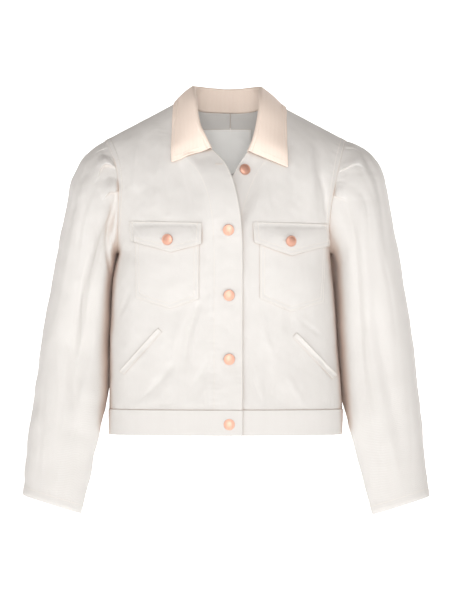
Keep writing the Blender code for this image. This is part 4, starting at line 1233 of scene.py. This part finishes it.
def makeSleeve(side):
    rings = sleeves["rings"][side]
    last = len(rings["outerX"]) - 1
    degrees = np.concatenate([np.arange(*stretch) for stretch in sleeves["degrees"]])
    head = sleeves["headRows"]
    ringAt = np.concatenate([np.linspace(0, 4, head)[:-1], np.linspace(4, last, sleeves["rows"] - head)])
    base, ring = np.meshgrid(degrees, ringAt)
    folded = np.where(base > 180, 360 - base, base)
    lift, lap = pleatShape(side, ring, folded)
    seen = base + np.where(base > 180, -lap, lap)
    angle = np.radians(seen)
    knots = np.arange(last + 1)
    at = {name: curveThrough(knots, column)(ring) for name, column in rings.items()}
    middleX, middleZ = (at["outerX"] + at["innerX"]) / 2, (at["outerZ"] + at["innerZ"]) / 2
    reachX, reachZ = (at["outerX"] - at["innerX"]) / 2, (at["outerZ"] - at["innerZ"]) / 2
    cosine, sine = np.cos(angle), np.sin(angle)
    seam = armholePoint(side, angle) * [side, 1, 1]
    outerStart, innerStart = rings["outerX"][0], rings["innerX"][0]
    startX = (outerStart + innerStart) / 2 + (outerStart - innerStart) / 2 * cosine
    startY = rings["middleY"][0] - rings["halfY"][0] * sine
    nearSeam = 1 - smooth(ring, 0, sleeves["armholeFades"])
    x = middleX + reachX * cosine + (seam[..., 0] - startX) * nearSeam
    x = x - side * towardsBody(side, ring, base)
    flatter = np.sign(sine) * np.abs(sine) ** (1 - sleeves["flatness"] * smooth(ring, 0, 3))
    y = at["middleY"] - at["halfY"] * flatter + (seam[..., 1] - startY) * nearSeam
    z = middleZ + reachZ * cosine
    reach = np.hypot(reachX, reachZ)
    outX, outZ = (part / reach * cosine / reach for part in (reachX, reachZ))
    out = unit(np.stack([outX, -sine / at["halfY"], outZ], -1))
    lift = lift + spiralFolds(sleeves["folds"][side], ring, base)
    points = np.stack([x, y, z], -1) + out * lift[..., None]
    closed = np.concatenate([points[:, -2:], points, points[:, :2]], axis=1)
    normal = gridNormals(closed)[:, 2:-2] * side
    down = arcLengths(points, 0)
    around = arcLengths(points, 1)
    toCuff = down[-1:] - down
    fine = spiralFolds(sleeves["creases"][side], ring, base) * sleeves["creaseShare"][side]
    fine = fine + uneven(points, sleeves["unevenness"], side)
    fine = fine * fadesIn(down, 2, 16) * fadesIn(toCuff, 4, 22)
    hem = sleeves["hem"]
    fine = fine + sewing["doubled"] * (1 - smooth(toCuff, hem, hem + 1.5 * mm))
    fine = fine + pucker(around + toCuff * 0.5, toCuff - hem, 8 * mm, 9 * mm, 71 + side) * 0.3 * mm
    besideSeam = pucker(around, down - 5 * mm, 13 * mm, 9 * mm, 81 + side)
    fine = fine + besideSeam * 0.12 * mm * fadesIn(down, 0.5, 4)
    points = points + normal * fine[..., None]
    closed = np.concatenate([points[:, -2:], points, points[:, :2]], axis=1)
    normal = gridNormals(closed)[:, 2:-2] * side
    inward = normal.copy()
    inward[0] = -armholeInward(side, points[0])
    points[0] += [side * cloth["seamGap"] * 1.5, 0, 0]
    uv = np.stack([around, down], -1)
    name = "sleeve_" + sideName[side]
    made = clothWall(name + "_cloth", points, points - cloth["denim"] * inward, uv, denim, tube=True)
    wrapped = np.concatenate([points, points[:, :1]], axis=1)
    keepSheet(made, [name])
    lines = {"grid": wrapped, "normal": np.concatenate([normal, normal[:, :1]], axis=1)}
    lines["toCuff"] = np.concatenate([toCuff, toCuff[:, :1]], axis=1)
    seamLines.append(lineAcrossColumns(lines, "toCuff", hem, np.ones(wrapped.shape[1], bool)))


print("setting the sleeves")
for side in (right, left):
    makeSleeve(side)

# collar
collarSizes = {
    "where": [0, 0.22, 0.5, 0.78, 1.0, 1.22, 1.5, 1.78, 2.0, 2.22, 2.5, 2.78, 3.0],
    **rowsOf(
        "rollX rollY rollZ edgeX edgeY edgeZ",
        [
            (-23, -96, -75, -85, -88, -98),
            (-31, -92, -56, -85.5, -82, -80),
            (-40, -80, -36, -84.5, -60, -52),
            (-45, -52, -2, -81.5, -30, -23),
            (-47.5, 6, 21.5, -79, 8, 1.5),
            (-38, 37, 23, -70, 56, -20),
            (4, 52, 20.5, 8, 86, -38),
            (44, 37, 23, 78, 56, -22),
            (53, 6, 20.5, 95, 8, -9.5),
            (53, -52, -4, 95.5, -30, -27),
            (48, -80, -40, 97, -60, -58),
            (42, -92, -64, 98, -82, -86),
            (36, -96, -80, 98.5, -88, -106),
        ],
    ),
    "columns": 260,
    "standRows": 16,
    "rollRows": 12,
    "fallRows": 40,
    "rollRadius": 2.8 * mm,
    "clearance": 2.4 * mm,
    "bodyMiddle": np.array([0, 0, -0.2]),  # the cloth of the body faces away from here
    "stitchIn": 6 * mm,
}


def necklineOf(panel):
    return panel["grid"][panel["rows"] >= panel["corner"], 0]


def makeCollar():
    sizes = collarSizes
    spread = np.linspace(0, 3, sizes["columns"])
    lines = [
        necklineOf(panels[front, right]),
        np.concatenate([necklineOf(panels[back, right])[::-1], necklineOf(panels[back, left])]),
        necklineOf(panels[front, left])[::-1],
    ]
    neck = []
    for place in spread:
        stretch = min(int(place), 2)
        neck.append(alongPath(lines[stretch])[0](place - stretch))
    neck = np.array(neck)
    roll, edge = (
        np.stack([curveThrough(sizes["where"], sizes[line + axis])(spread) for axis in "XYZ"], -1)
        for line in ("roll", "edge")
    )
    stand = unit(roll - neck)
    neck = neck + stand * (cloth["collar"] / 2 + cloth["seamGap"])
    away = unit(np.cross(stand, np.gradient(roll, axis=0)))
    radius = sizes["rollRadius"]
    top = roll - stand * radius
    rows = [neck + (top - neck) * t for t in np.linspace(0, 1, sizes["standRows"])]
    for turn in np.linspace(0, math.pi, sizes["rollRows"] + 1)[1:]:
        rows.append(top + away * radius * (1 - math.cos(turn)) + stand * radius * math.sin(turn))
    fallStart = rows[-1]
    tree = treeOf([panel["grid"] for panel in panels.values()])
    for share in np.linspace(0, 1, sizes["fallRows"] + 1)[1:]:
        fall = fallStart + (edge - fallStart) * share + away * 1.5 * mm * math.sin(math.pi * share)
        kept = []
        for point in fall:
            place, normal, _, _ = tree.find_nearest(Vector(point))
            place, normal = np.array(place), np.array(normal)
            if (place - sizes["bodyMiddle"]) @ normal < 0:
                normal = -normal
            offset = point - place
            clear = offset @ normal > 0 and np.linalg.norm(offset) >= sizes["clearance"]
            kept.append(point if clear else place + normal * sizes["clearance"])
        rows.append(np.array(kept))
    middle = np.array(rows)
    fallFrom = sizes["standRows"] + sizes["rollRows"]
    middle[fallFrom:] = softened(middle[fallFrom:], 3)
    normal = gridNormals(middle)
    alongU, acrossV = arcLengths(middle, 1), arcLengths(middle, 0)
    toEdge = acrossV[-1:] - acrossV
    ends = np.minimum(alongU, alongU[:, -1:] - alongU)
    fromRim = np.minimum(toEdge, ends)
    stitchIn = sizes["stitchIn"]
    fine = ripple(middle, 34 * mm, 23) * 0.22 * mm * fadesIn(fromRim, 0, 8)
    groove = np.exp(-(((fromRim - stitchIn) / (1.4 * mm)) ** 2)) * (acrossV > acrossV[-1:] * 0.4)
    middle = middle - normal * (fine - 0.35 * mm * groove)[..., None]
    half = normal * cloth["collar"] / 2
    uv = np.stack([alongU, acrossV], -1)
    made = clothWall("collar_cloth", middle + half, middle - half, uv, corduroy, edgeRound=0.45)
    keepSheet(made, ["collar"])
    face = 1 if half[0, len(spread) // 2, 1] <= 0 else -1
    collar = {"grid": middle + half * face, "normal": normal * face, "toEdge": toEdge, "fromStart": alongU}
    collar["fromEnd"] = alongU[:, -1:] - alongU
    low = (np.arange(len(middle)) > fallFrom) & (toEdge[:, 0] > stitchIn)
    seamLines.append(lineAcrossColumns(collar, "toEdge", stitchIn, ends[-1] > stitchIn))
    seamLines.append(lineAcrossRows(collar, "fromStart", stitchIn, low))
    seamLines.append(lineAcrossRows(collar, "fromEnd", stitchIn, low))


print("rolling the collar")
makeCollar()

# pockets, flaps and welts
pockets = {
    "bag": {
        right: rowsOf("x z", [(-41.5, -201), (-42, -315), (-87, -330.5), (-141.5, -313), (-143, -201)]),
        left: rowsOf("x z", [(54.5, -203), (54.5, -314), (103.5, -335), (155, -320), (160, -203)]),
    },
    "flap": {
        right: rowsOf("x z", [(-37, -195), (-37, -228), (-85, -240.5), (-147, -223), (-153.5, -192)]),
        left: rowsOf("x z", [(43.5, -194), (45.5, -226), (102.5, -246), (162.5, -230.5), (162.5, -196.5)]),
    },
    "welt": {
        right: rowsOf("x z", [(-106.5, -361.5), (-168, -430)]),
        left: rowsOf("x z", [(113, -369), (177, -437)]),
    },
    "weltWidth": 9 * mm,
    "gap": 0.45 * mm,
    "bagRise": 1.1 * mm,
    "flapRise": 1.0 * mm,
    "flapSpring": 2.8 * mm,
    "mouth": {right: 0.6 * mm, left: 1.3 * mm},  # how far the welts stand off at the pockets' mouths
    "seams": (1.8 * mm, 7.6 * mm),
    "weltSeam": 1.6 * mm,
    "seamGroove": 0.22 * mm,
}


def evenShares(startX, endX, z, columns):
    side = right if startX < 0 else left
    turns = turnAt(front, side, np.abs([startX, endX]), z)
    sines = np.sin(turns[0] + (turns[1] - turns[0]) * closerAtEnds(columns, 0.5))
    return (sines - sines[0]) / (sines[-1] - sines[0])


def pointedGrid(corners, rows, columns):
    x, z = corners["x"], corners["z"]
    pointAt = abs(x[2] - x[1]) / abs(x[3] - x[1])
    shares = evenShares(x[0], x[4], z[0], columns)
    shares[np.abs(shares - pointAt).argmin()] = pointAt
    lowX = np.interp(shares, [0, pointAt, 1], x[1:4])
    lowZ = np.interp(shares, [0, pointAt, 1], z[1:4])
    highX, highZ = x[0] + (x[4] - x[0]) * shares, z[0] + (z[4] - z[0]) * shares
    down = closerAtEnds(rows, 0.5)[:, None]
    return np.stack([highX + (lowX - highX) * down, highZ + (lowZ - highZ) * down], -1)


def layOn(tree, flat, gap):
    places = np.array([[onto(tree, x, z, -0.4, 1) for x, z in row] for row in flat])
    return places[:, :, 0] + places[:, :, 1] * gap, places[:, :, 1]


def sewnPatch(name, node, tree, flat, gap, thickness, rise, seed, openTop=False, spring=0.0, mouth=0.0):
    under, normal = layOn(tree, flat, gap)
    under = softened(under, 6 if spring else 2)  # a flap bridges the edges beneath it
    along, up = arcLengths(under, 1), arcLengths(under, 0)
    sides = np.minimum(along, along[:, -1:] - along)
    lower = up[-1:] - up
    rim = np.minimum(sides, lower)
    if not openTop:
        rim = np.minimum(rim, up + 4 * mm)
    plump = rise * smooth(rim, 6 * mm, 34 * mm) * (0.75 + 0.35 * ripple(under, 60 * mm, seed))
    plump = plump + spring * smooth(up, 2 * mm, 30 * mm) * (0.8 + 0.3 * np.sin(along * 55 + seed))
    plump = plump + mouth * (1 - smooth(up, 0, 6 * mm)) * smooth(sides, 0, 9 * mm)
    stitched = np.minimum(sides, lower)
    groove = sum(np.exp(-(((stitched - far) / (1.0 * mm)) ** 2)) for far in pockets["seams"])
    groove = -pockets["seamGroove"] * groove
    ripples = pucker(along + up, rim - 8 * mm, 9 * mm, 8 * mm, seed) * 0.16 * mm * smooth(rim, 2 * mm, 7 * mm)
    shape = ripple(under, 24 * mm, seed + 3) * 0.12 * mm * smooth(rim, 0, 8 * mm)
    thick = thickness * (0.3 + 0.7 * smooth(up, 0, 16 * mm) if rise else 1 - 0.5 * smooth(up, 1 * mm, 7 * mm))
    outer = under + normal * (thick + plump + groove + ripples + shape)[..., None]
    inner = under + normal * (plump * 0.9)[..., None]
    uv = np.stack([along, up], -1)
    made = clothWall(name, outer, inner, uv, denim, edgeRound=0.4)
    keepSheet(made, [node])
    return {"grid": outer, "normal": gridNormalsOut(outer), "sides": sides, "lower": lower, "up": up}


def gridNormalsOut(grid):  # normals that look to the front
    normal = gridNormals(grid)
    return np.where(normal[..., 1:2] < 0, normal, -normal)


def patchSeams(patch, distance, top=False):  # down one side, along the bottom and up the other
    rows = (patch["lower"][:, 0] >= distance) & (patch["up"][:, 0] >= (distance if top else 0))
    columns = patch["sides"][-1] >= distance
    middle = patch["grid"].shape[1] // 2
    halves = []
    for part in (slice(0, middle), slice(middle, None)):
        cut = {k: patch[k][:, part] for k in ("grid", "normal", "sides")}
        halves.append(lineAcrossRows(cut, "sides", distance, rows))
    bottom = lineAcrossColumns(patch, "lower", distance, columns)
    lines = [np.concatenate([halves[0], bottom, halves[1][::-1]])]
    if top:
        lines.append(lineAcrossColumns(patch, "up", distance, columns))
    return lines


print("sewing on the pockets")
flapTrees = {}
for side in (right, left):
    name = sideName[side]
    ground = treeOf([panels[front, side]["grid"]])
    bag = sewnPatch(
        f"chest_pocket_{name}_cloth",
        f"chest_pocket_{name}",
        ground,
        pointedGrid(pockets["bag"][side], 56, 56),
        pockets["gap"],
        cloth["pocket"],
        pockets["bagRise"],
        100 + side,
        openTop=True,
    )
    over = treeOf([panels[front, side]["grid"], bag["grid"]])
    flap = sewnPatch(
        f"pocket_flap_{name}_cloth",
        f"pocket_flap_{name}",
        over,
        pointedGrid(pockets["flap"][side], 34, 64),
        pockets["gap"] * 1.4,
        cloth["flap"],
        pockets["flapRise"],
        110 + side,
        spring=pockets["flapSpring"],
    )
    flapTrees[side] = treeOf([flap["grid"]])
    outerSeam, innerSeam = pockets["seams"]
    seamLines += patchSeams(bag, outerSeam) + patchSeams(bag, innerSeam)
    seamLines += patchSeams(flap, outerSeam, top=True) + patchSeams(flap, innerSeam)
    ends = np.array([pockets["welt"][side]["x"], pockets["welt"][side]["z"]]).T
    way = unit(ends[1] - ends[0])
    down = np.array([way[1], -way[0]])
    down = down if down[1] < 0 else -down
    line = ends[0] + (ends[1] - ends[0]) * evenShares(ends[0, 0], ends[1, 0], ends[0, 1], 60)[:, None]
    flatWelt = np.array([line + down * pockets["weltWidth"] * t for t in closerAtEnds(12, 0.5)])
    welt = sewnPatch(
        f"welt_{name}_cloth",
        f"welt_{name}",
        ground,
        flatWelt,
        pockets["gap"],
        cloth["pocket"],
        0.0,
        120 + side,
        openTop=True,
        mouth=pockets["mouth"][side],
    )
    seamLines += patchSeams(welt, pockets["weltSeam"], top=True)

# neck label, left bare
label = {
    "left": -36 * mm,
    "right": 41 * mm,
    "top": -42 * mm,
    "bottom": -112 * mm,
    "rows": 30,
    "columns": 34,
    "gap": 0.4 * mm,
    "ripple": 0.35 * mm,
    "seam": 2 * mm,
}


def makeLabel():
    inside = treeOf([panels[back, side]["inside"] for side in (right, left)])
    flat = [
        [(x, z) for x in np.linspace(label["left"], label["right"], label["columns"])]
        for z in np.linspace(label["top"], label["bottom"], label["rows"])
    ]
    places = np.array([[onto(inside, x, z, 0.0, 1) for x, z in row] for row in flat])
    points = softened(places[:, :, 0] + places[:, :, 1] * label["gap"], 6)
    normal = np.repeat(unit(places[:, :, 1].mean((0, 1)))[None, None], label["rows"], 0)
    along, up = arcLengths(points, 1), arcLengths(points, 0)
    shape = label["ripple"] * ripple(points, 30 * mm, 77) * fadesIn(up, 0, 8)
    outer = points + normal * (cloth["label"] + shape)[..., None]
    made = clothWall("neck_label_cloth", outer, points, np.stack([along, up], -1), labelCloth)
    keepSheet(made, ["neck_label"])
    tag = {"grid": outer, "normal": np.broadcast_to(normal, outer.shape), "up": up, "along": along}
    tag["ends"] = along[:, -1:] - along
    rows, columns = np.ones(label["rows"], bool), np.ones(label["columns"], bool)
    seamLines.append(lineAcrossColumns(tag, "up", label["seam"], columns))
    for key in ("along", "ends"):
        seamLines.append(lineAcrossRows(tag, key, label["seam"], rows))


makeLabel()

# buttons and buttonholes
buttons = {
    "spots": [
        ("front_button_1", 30.4, -111, "left"),
        ("front_button_2", 5, -206.5, "right"),
        ("front_button_3", 5.8, -309.5, "right"),
        ("front_button_4", 6.1, -410.5, "right"),
        ("front_button_5", 6.1, -513.5, "band"),
        ("flap_button_right", -91, -221.5, "flapRight"),
        ("flap_button_left", 103, -224, "flapLeft"),
    ],
    "profile": [  # radius and height in millimetres, from the middle of the face to the shank
        (0, 4.0),
        (1.6, 3.97),
        (3.2, 3.88),
        (4.8, 3.7),
        (6.2, 3.42),
        (7.1, 3.15),
        (7.5, 3.1),
        (7.85, 3.3),
        (8.25, 3.28),
        (8.6, 3.0),
        (8.8, 2.5),
        (8.7, 1.9),
        (8.1, 1.5),
        (5.0, 1.2),
        (4.3, 0.9),
        (4.1, 0.0),
        (0, 0.0),
    ],
    "steps": 56,
    "gap": 0.3 * mm,
}
buttonholes = {
    "length": 17 * mm,
    "width": 3.2 * mm,
    "pitch": 0.55 * mm,
    "thread": 0.32 * mm,
    "frontShift": -13 * mm,  # from the button's middle to where the hole starts
    "flapShift": -17 * 0.72 * mm,
    "neck": (-16 * mm, -102 * mm, 12 * mm),  # the empty hole at the neck: x, z and length
}


def makeButton(name, place, normal):
    mesh = bmesh.new()
    turned = [mesh.verts.new((r * mm, 0, h * mm)) for r, h in buttons["profile"]]
    edges = [mesh.edges.new((a, b)) for a, b in zip(turned, turned[1:])]
    bmesh.ops.spin(
        mesh,
        geom=turned + edges,
        angle=2 * math.pi,
        steps=buttons["steps"],
        axis=(0, 0, 1),
        cent=(0, 0, 0),
        use_merge=True,
    )
    bmesh.ops.remove_doubles(mesh, verts=mesh.verts, dist=0.005 * mm)
    bmesh.ops.recalc_face_normals(mesh, faces=mesh.faces)
    turn = Vector(normal).to_track_quat("Z", "Y").to_matrix().to_4x4()
    mesh.transform(Matrix.Translation(Vector(place + normal * buttons["gap"])) @ turn)
    data = bpy.data.meshes.new(name + "_metal")
    mesh.to_mesh(data)
    mesh.free()
    data.materials.append(copper)
    data.shade_smooth()
    made = placed(name + "_metal", data)
    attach(made, "root")
    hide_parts(name)


def buttonholeLine(tree, startX, z, length):  # thread that zigzags round a slot
    points = []
    steps = int(2 * length / buttonholes["pitch"])
    for k in range(steps + 1):
        s = k / steps * 2
        sideways = 1 if s < 1 else -1
        share = s if s < 1 else 2 - s
        wide = (0.25, 1.0)[k % 2] * buttonholes["width"] / 2
        wide = wide * math.sin(math.pi * (0.12 + 0.76 * share)) ** 0.35
        place, normal = onto(tree, startX + length * share, z + sideways * wide, -0.4, 1)
        points.append(place + normal * 0.25 * mm)
    return np.array(points)


print("fixing the buttons")
grounds = {
    "left": treeOf([panels[front, left]["grid"]]),
    "right": treeOf([panels[front, right]["grid"]]),
    "band": treeOf([bandGrid]),
    "flapRight": flapTrees[right],
    "flapLeft": flapTrees[left],
}
holeLines = []
for name, x, z, ground in buttons["spots"]:
    place, normal = onto(grounds[ground], x * mm, z * mm, -0.4, 1)
    makeButton(name, place, normal)
    if name != "front_button_1":
        shift = buttonholes["flapShift" if ground.startswith("flap") else "frontShift"]
        holeLines.append(buttonholeLine(grounds[ground], x * mm + shift, z * mm, buttonholes["length"]))
holeLines.append(buttonholeLine(grounds["right"], *buttonholes["neck"]))

wire = wireAlong("buttonholeWire", holeLines)
wire.data.bevel_depth = buttonholes["thread"] / 2
wire.data.bevel_resolution = 1
wire.data.use_fill_caps = True
holeMesh = plainMesh(wire)
holeMesh.materials.clear()
holeMesh.materials.append(thread)
holeStitches = placed("buttonholes", holeMesh)
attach(holeStitches, "root")

print("sewing the seams")
sew("topstitching", seamLines)

# the studio
studio = {
    "cameraAt": (-0.6 * mm, -8.0, -317 * mm),
    "lens": 300,
    "floorHeight": -0.80,
    "wallAt": 20.0,
    "bend": 1.2,
    "wallHeight": 10.0,
    "floorReach": 24.0,
    "paperGlow": 0.97,
    "lampsAimAt": (0, 0, -0.3),
    "lamps": [  # name, place, size and power
        ("key", (-3.2, -3.4, 1.6), 1.0, 16),
        ("front", (0, -6.3, 0.8), 2.4, 188),
        ("back", (2.5, 5.0, 2.0), 2.0, 90),
    ],
    "worldStrength": 0.22,
    "worldColour": (1.0, 0.87, 0.78, 1),
}


def makeStudio():
    world = bpy.data.worlds.new("studio")
    world.use_nodes = True
    sky = world.node_tree.nodes["Background"]
    sky.inputs["Color"].default_value = studio["worldColour"]
    sky.inputs["Strength"].default_value = studio["worldStrength"]
    bpy.context.scene.world = world
    for name, place, size, power in studio["lamps"]:
        lamp = bpy.data.lights.new(name, "AREA")
        lamp.size = size
        lamp.energy = power
        made = placed(name, lamp)
        made.location = place
        aim = Vector(studio["lampsAimAt"]) - Vector(place)
        made.rotation_euler = aim.to_track_quat("-Z", "Y").to_euler()
    data = bpy.data.meshes.new("studioFloor")
    z, wall, bend = studio["floorHeight"], studio["wallAt"], studio["bend"]
    turns = np.linspace(0, math.pi / 2, 25)
    reach = studio["floorReach"]
    profile = [(-reach, z)]
    profile += [(wall - bend + bend * math.sin(t), z + bend * (1 - math.cos(t))) for t in turns]
    profile += [(wall, studio["wallHeight"])]
    points = [(x, y, h) for y, h in profile for x in (-reach, reach)]
    faces = [(2 * k, 2 * k + 1, 2 * k + 3, 2 * k + 2) for k in range(len(profile) - 1)]
    data.from_pydata(points, [], faces)
    data.shade_smooth()
    paper, tree, shader, place = newMaterial("whitePaper", 0.9)
    grain = noiseNode(tree, place.outputs["Object"], 40, 2)
    tone = mixColour(tree, grain, (0.93, 0.93, 0.93, 1), (0.95, 0.95, 0.95, 1))
    link(tree, tone, shader.inputs["Base Color"])
    shader.inputs["Emission Color"].default_value = (1, 1, 1, 1)
    shader.inputs["Emission Strength"].default_value = studio["paperGlow"]
    data.materials.append(paper)
    placed("studioFloor", data)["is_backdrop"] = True
    camera = placed("camera", bpy.data.cameras.new("camera"))
    camera.data.lens = studio["lens"]
    camera.data.sensor_fit = "VERTICAL"
    camera.data.sensor_height = 36
    camera.data.clip_end = 60
    camera.location = studio["cameraAt"]
    camera.rotation_euler = (math.pi / 2, 0, 0)
    bpy.context.scene.camera = camera
    bpy.context.scene.view_settings.view_transform = "Standard"


print("lighting the studio")
makeStudio()
boxes = {"cad": cadBox, "visual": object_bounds()}
boxes = {name: [list(map(float, corner)) for corner in box] for name, box in boxes.items()}
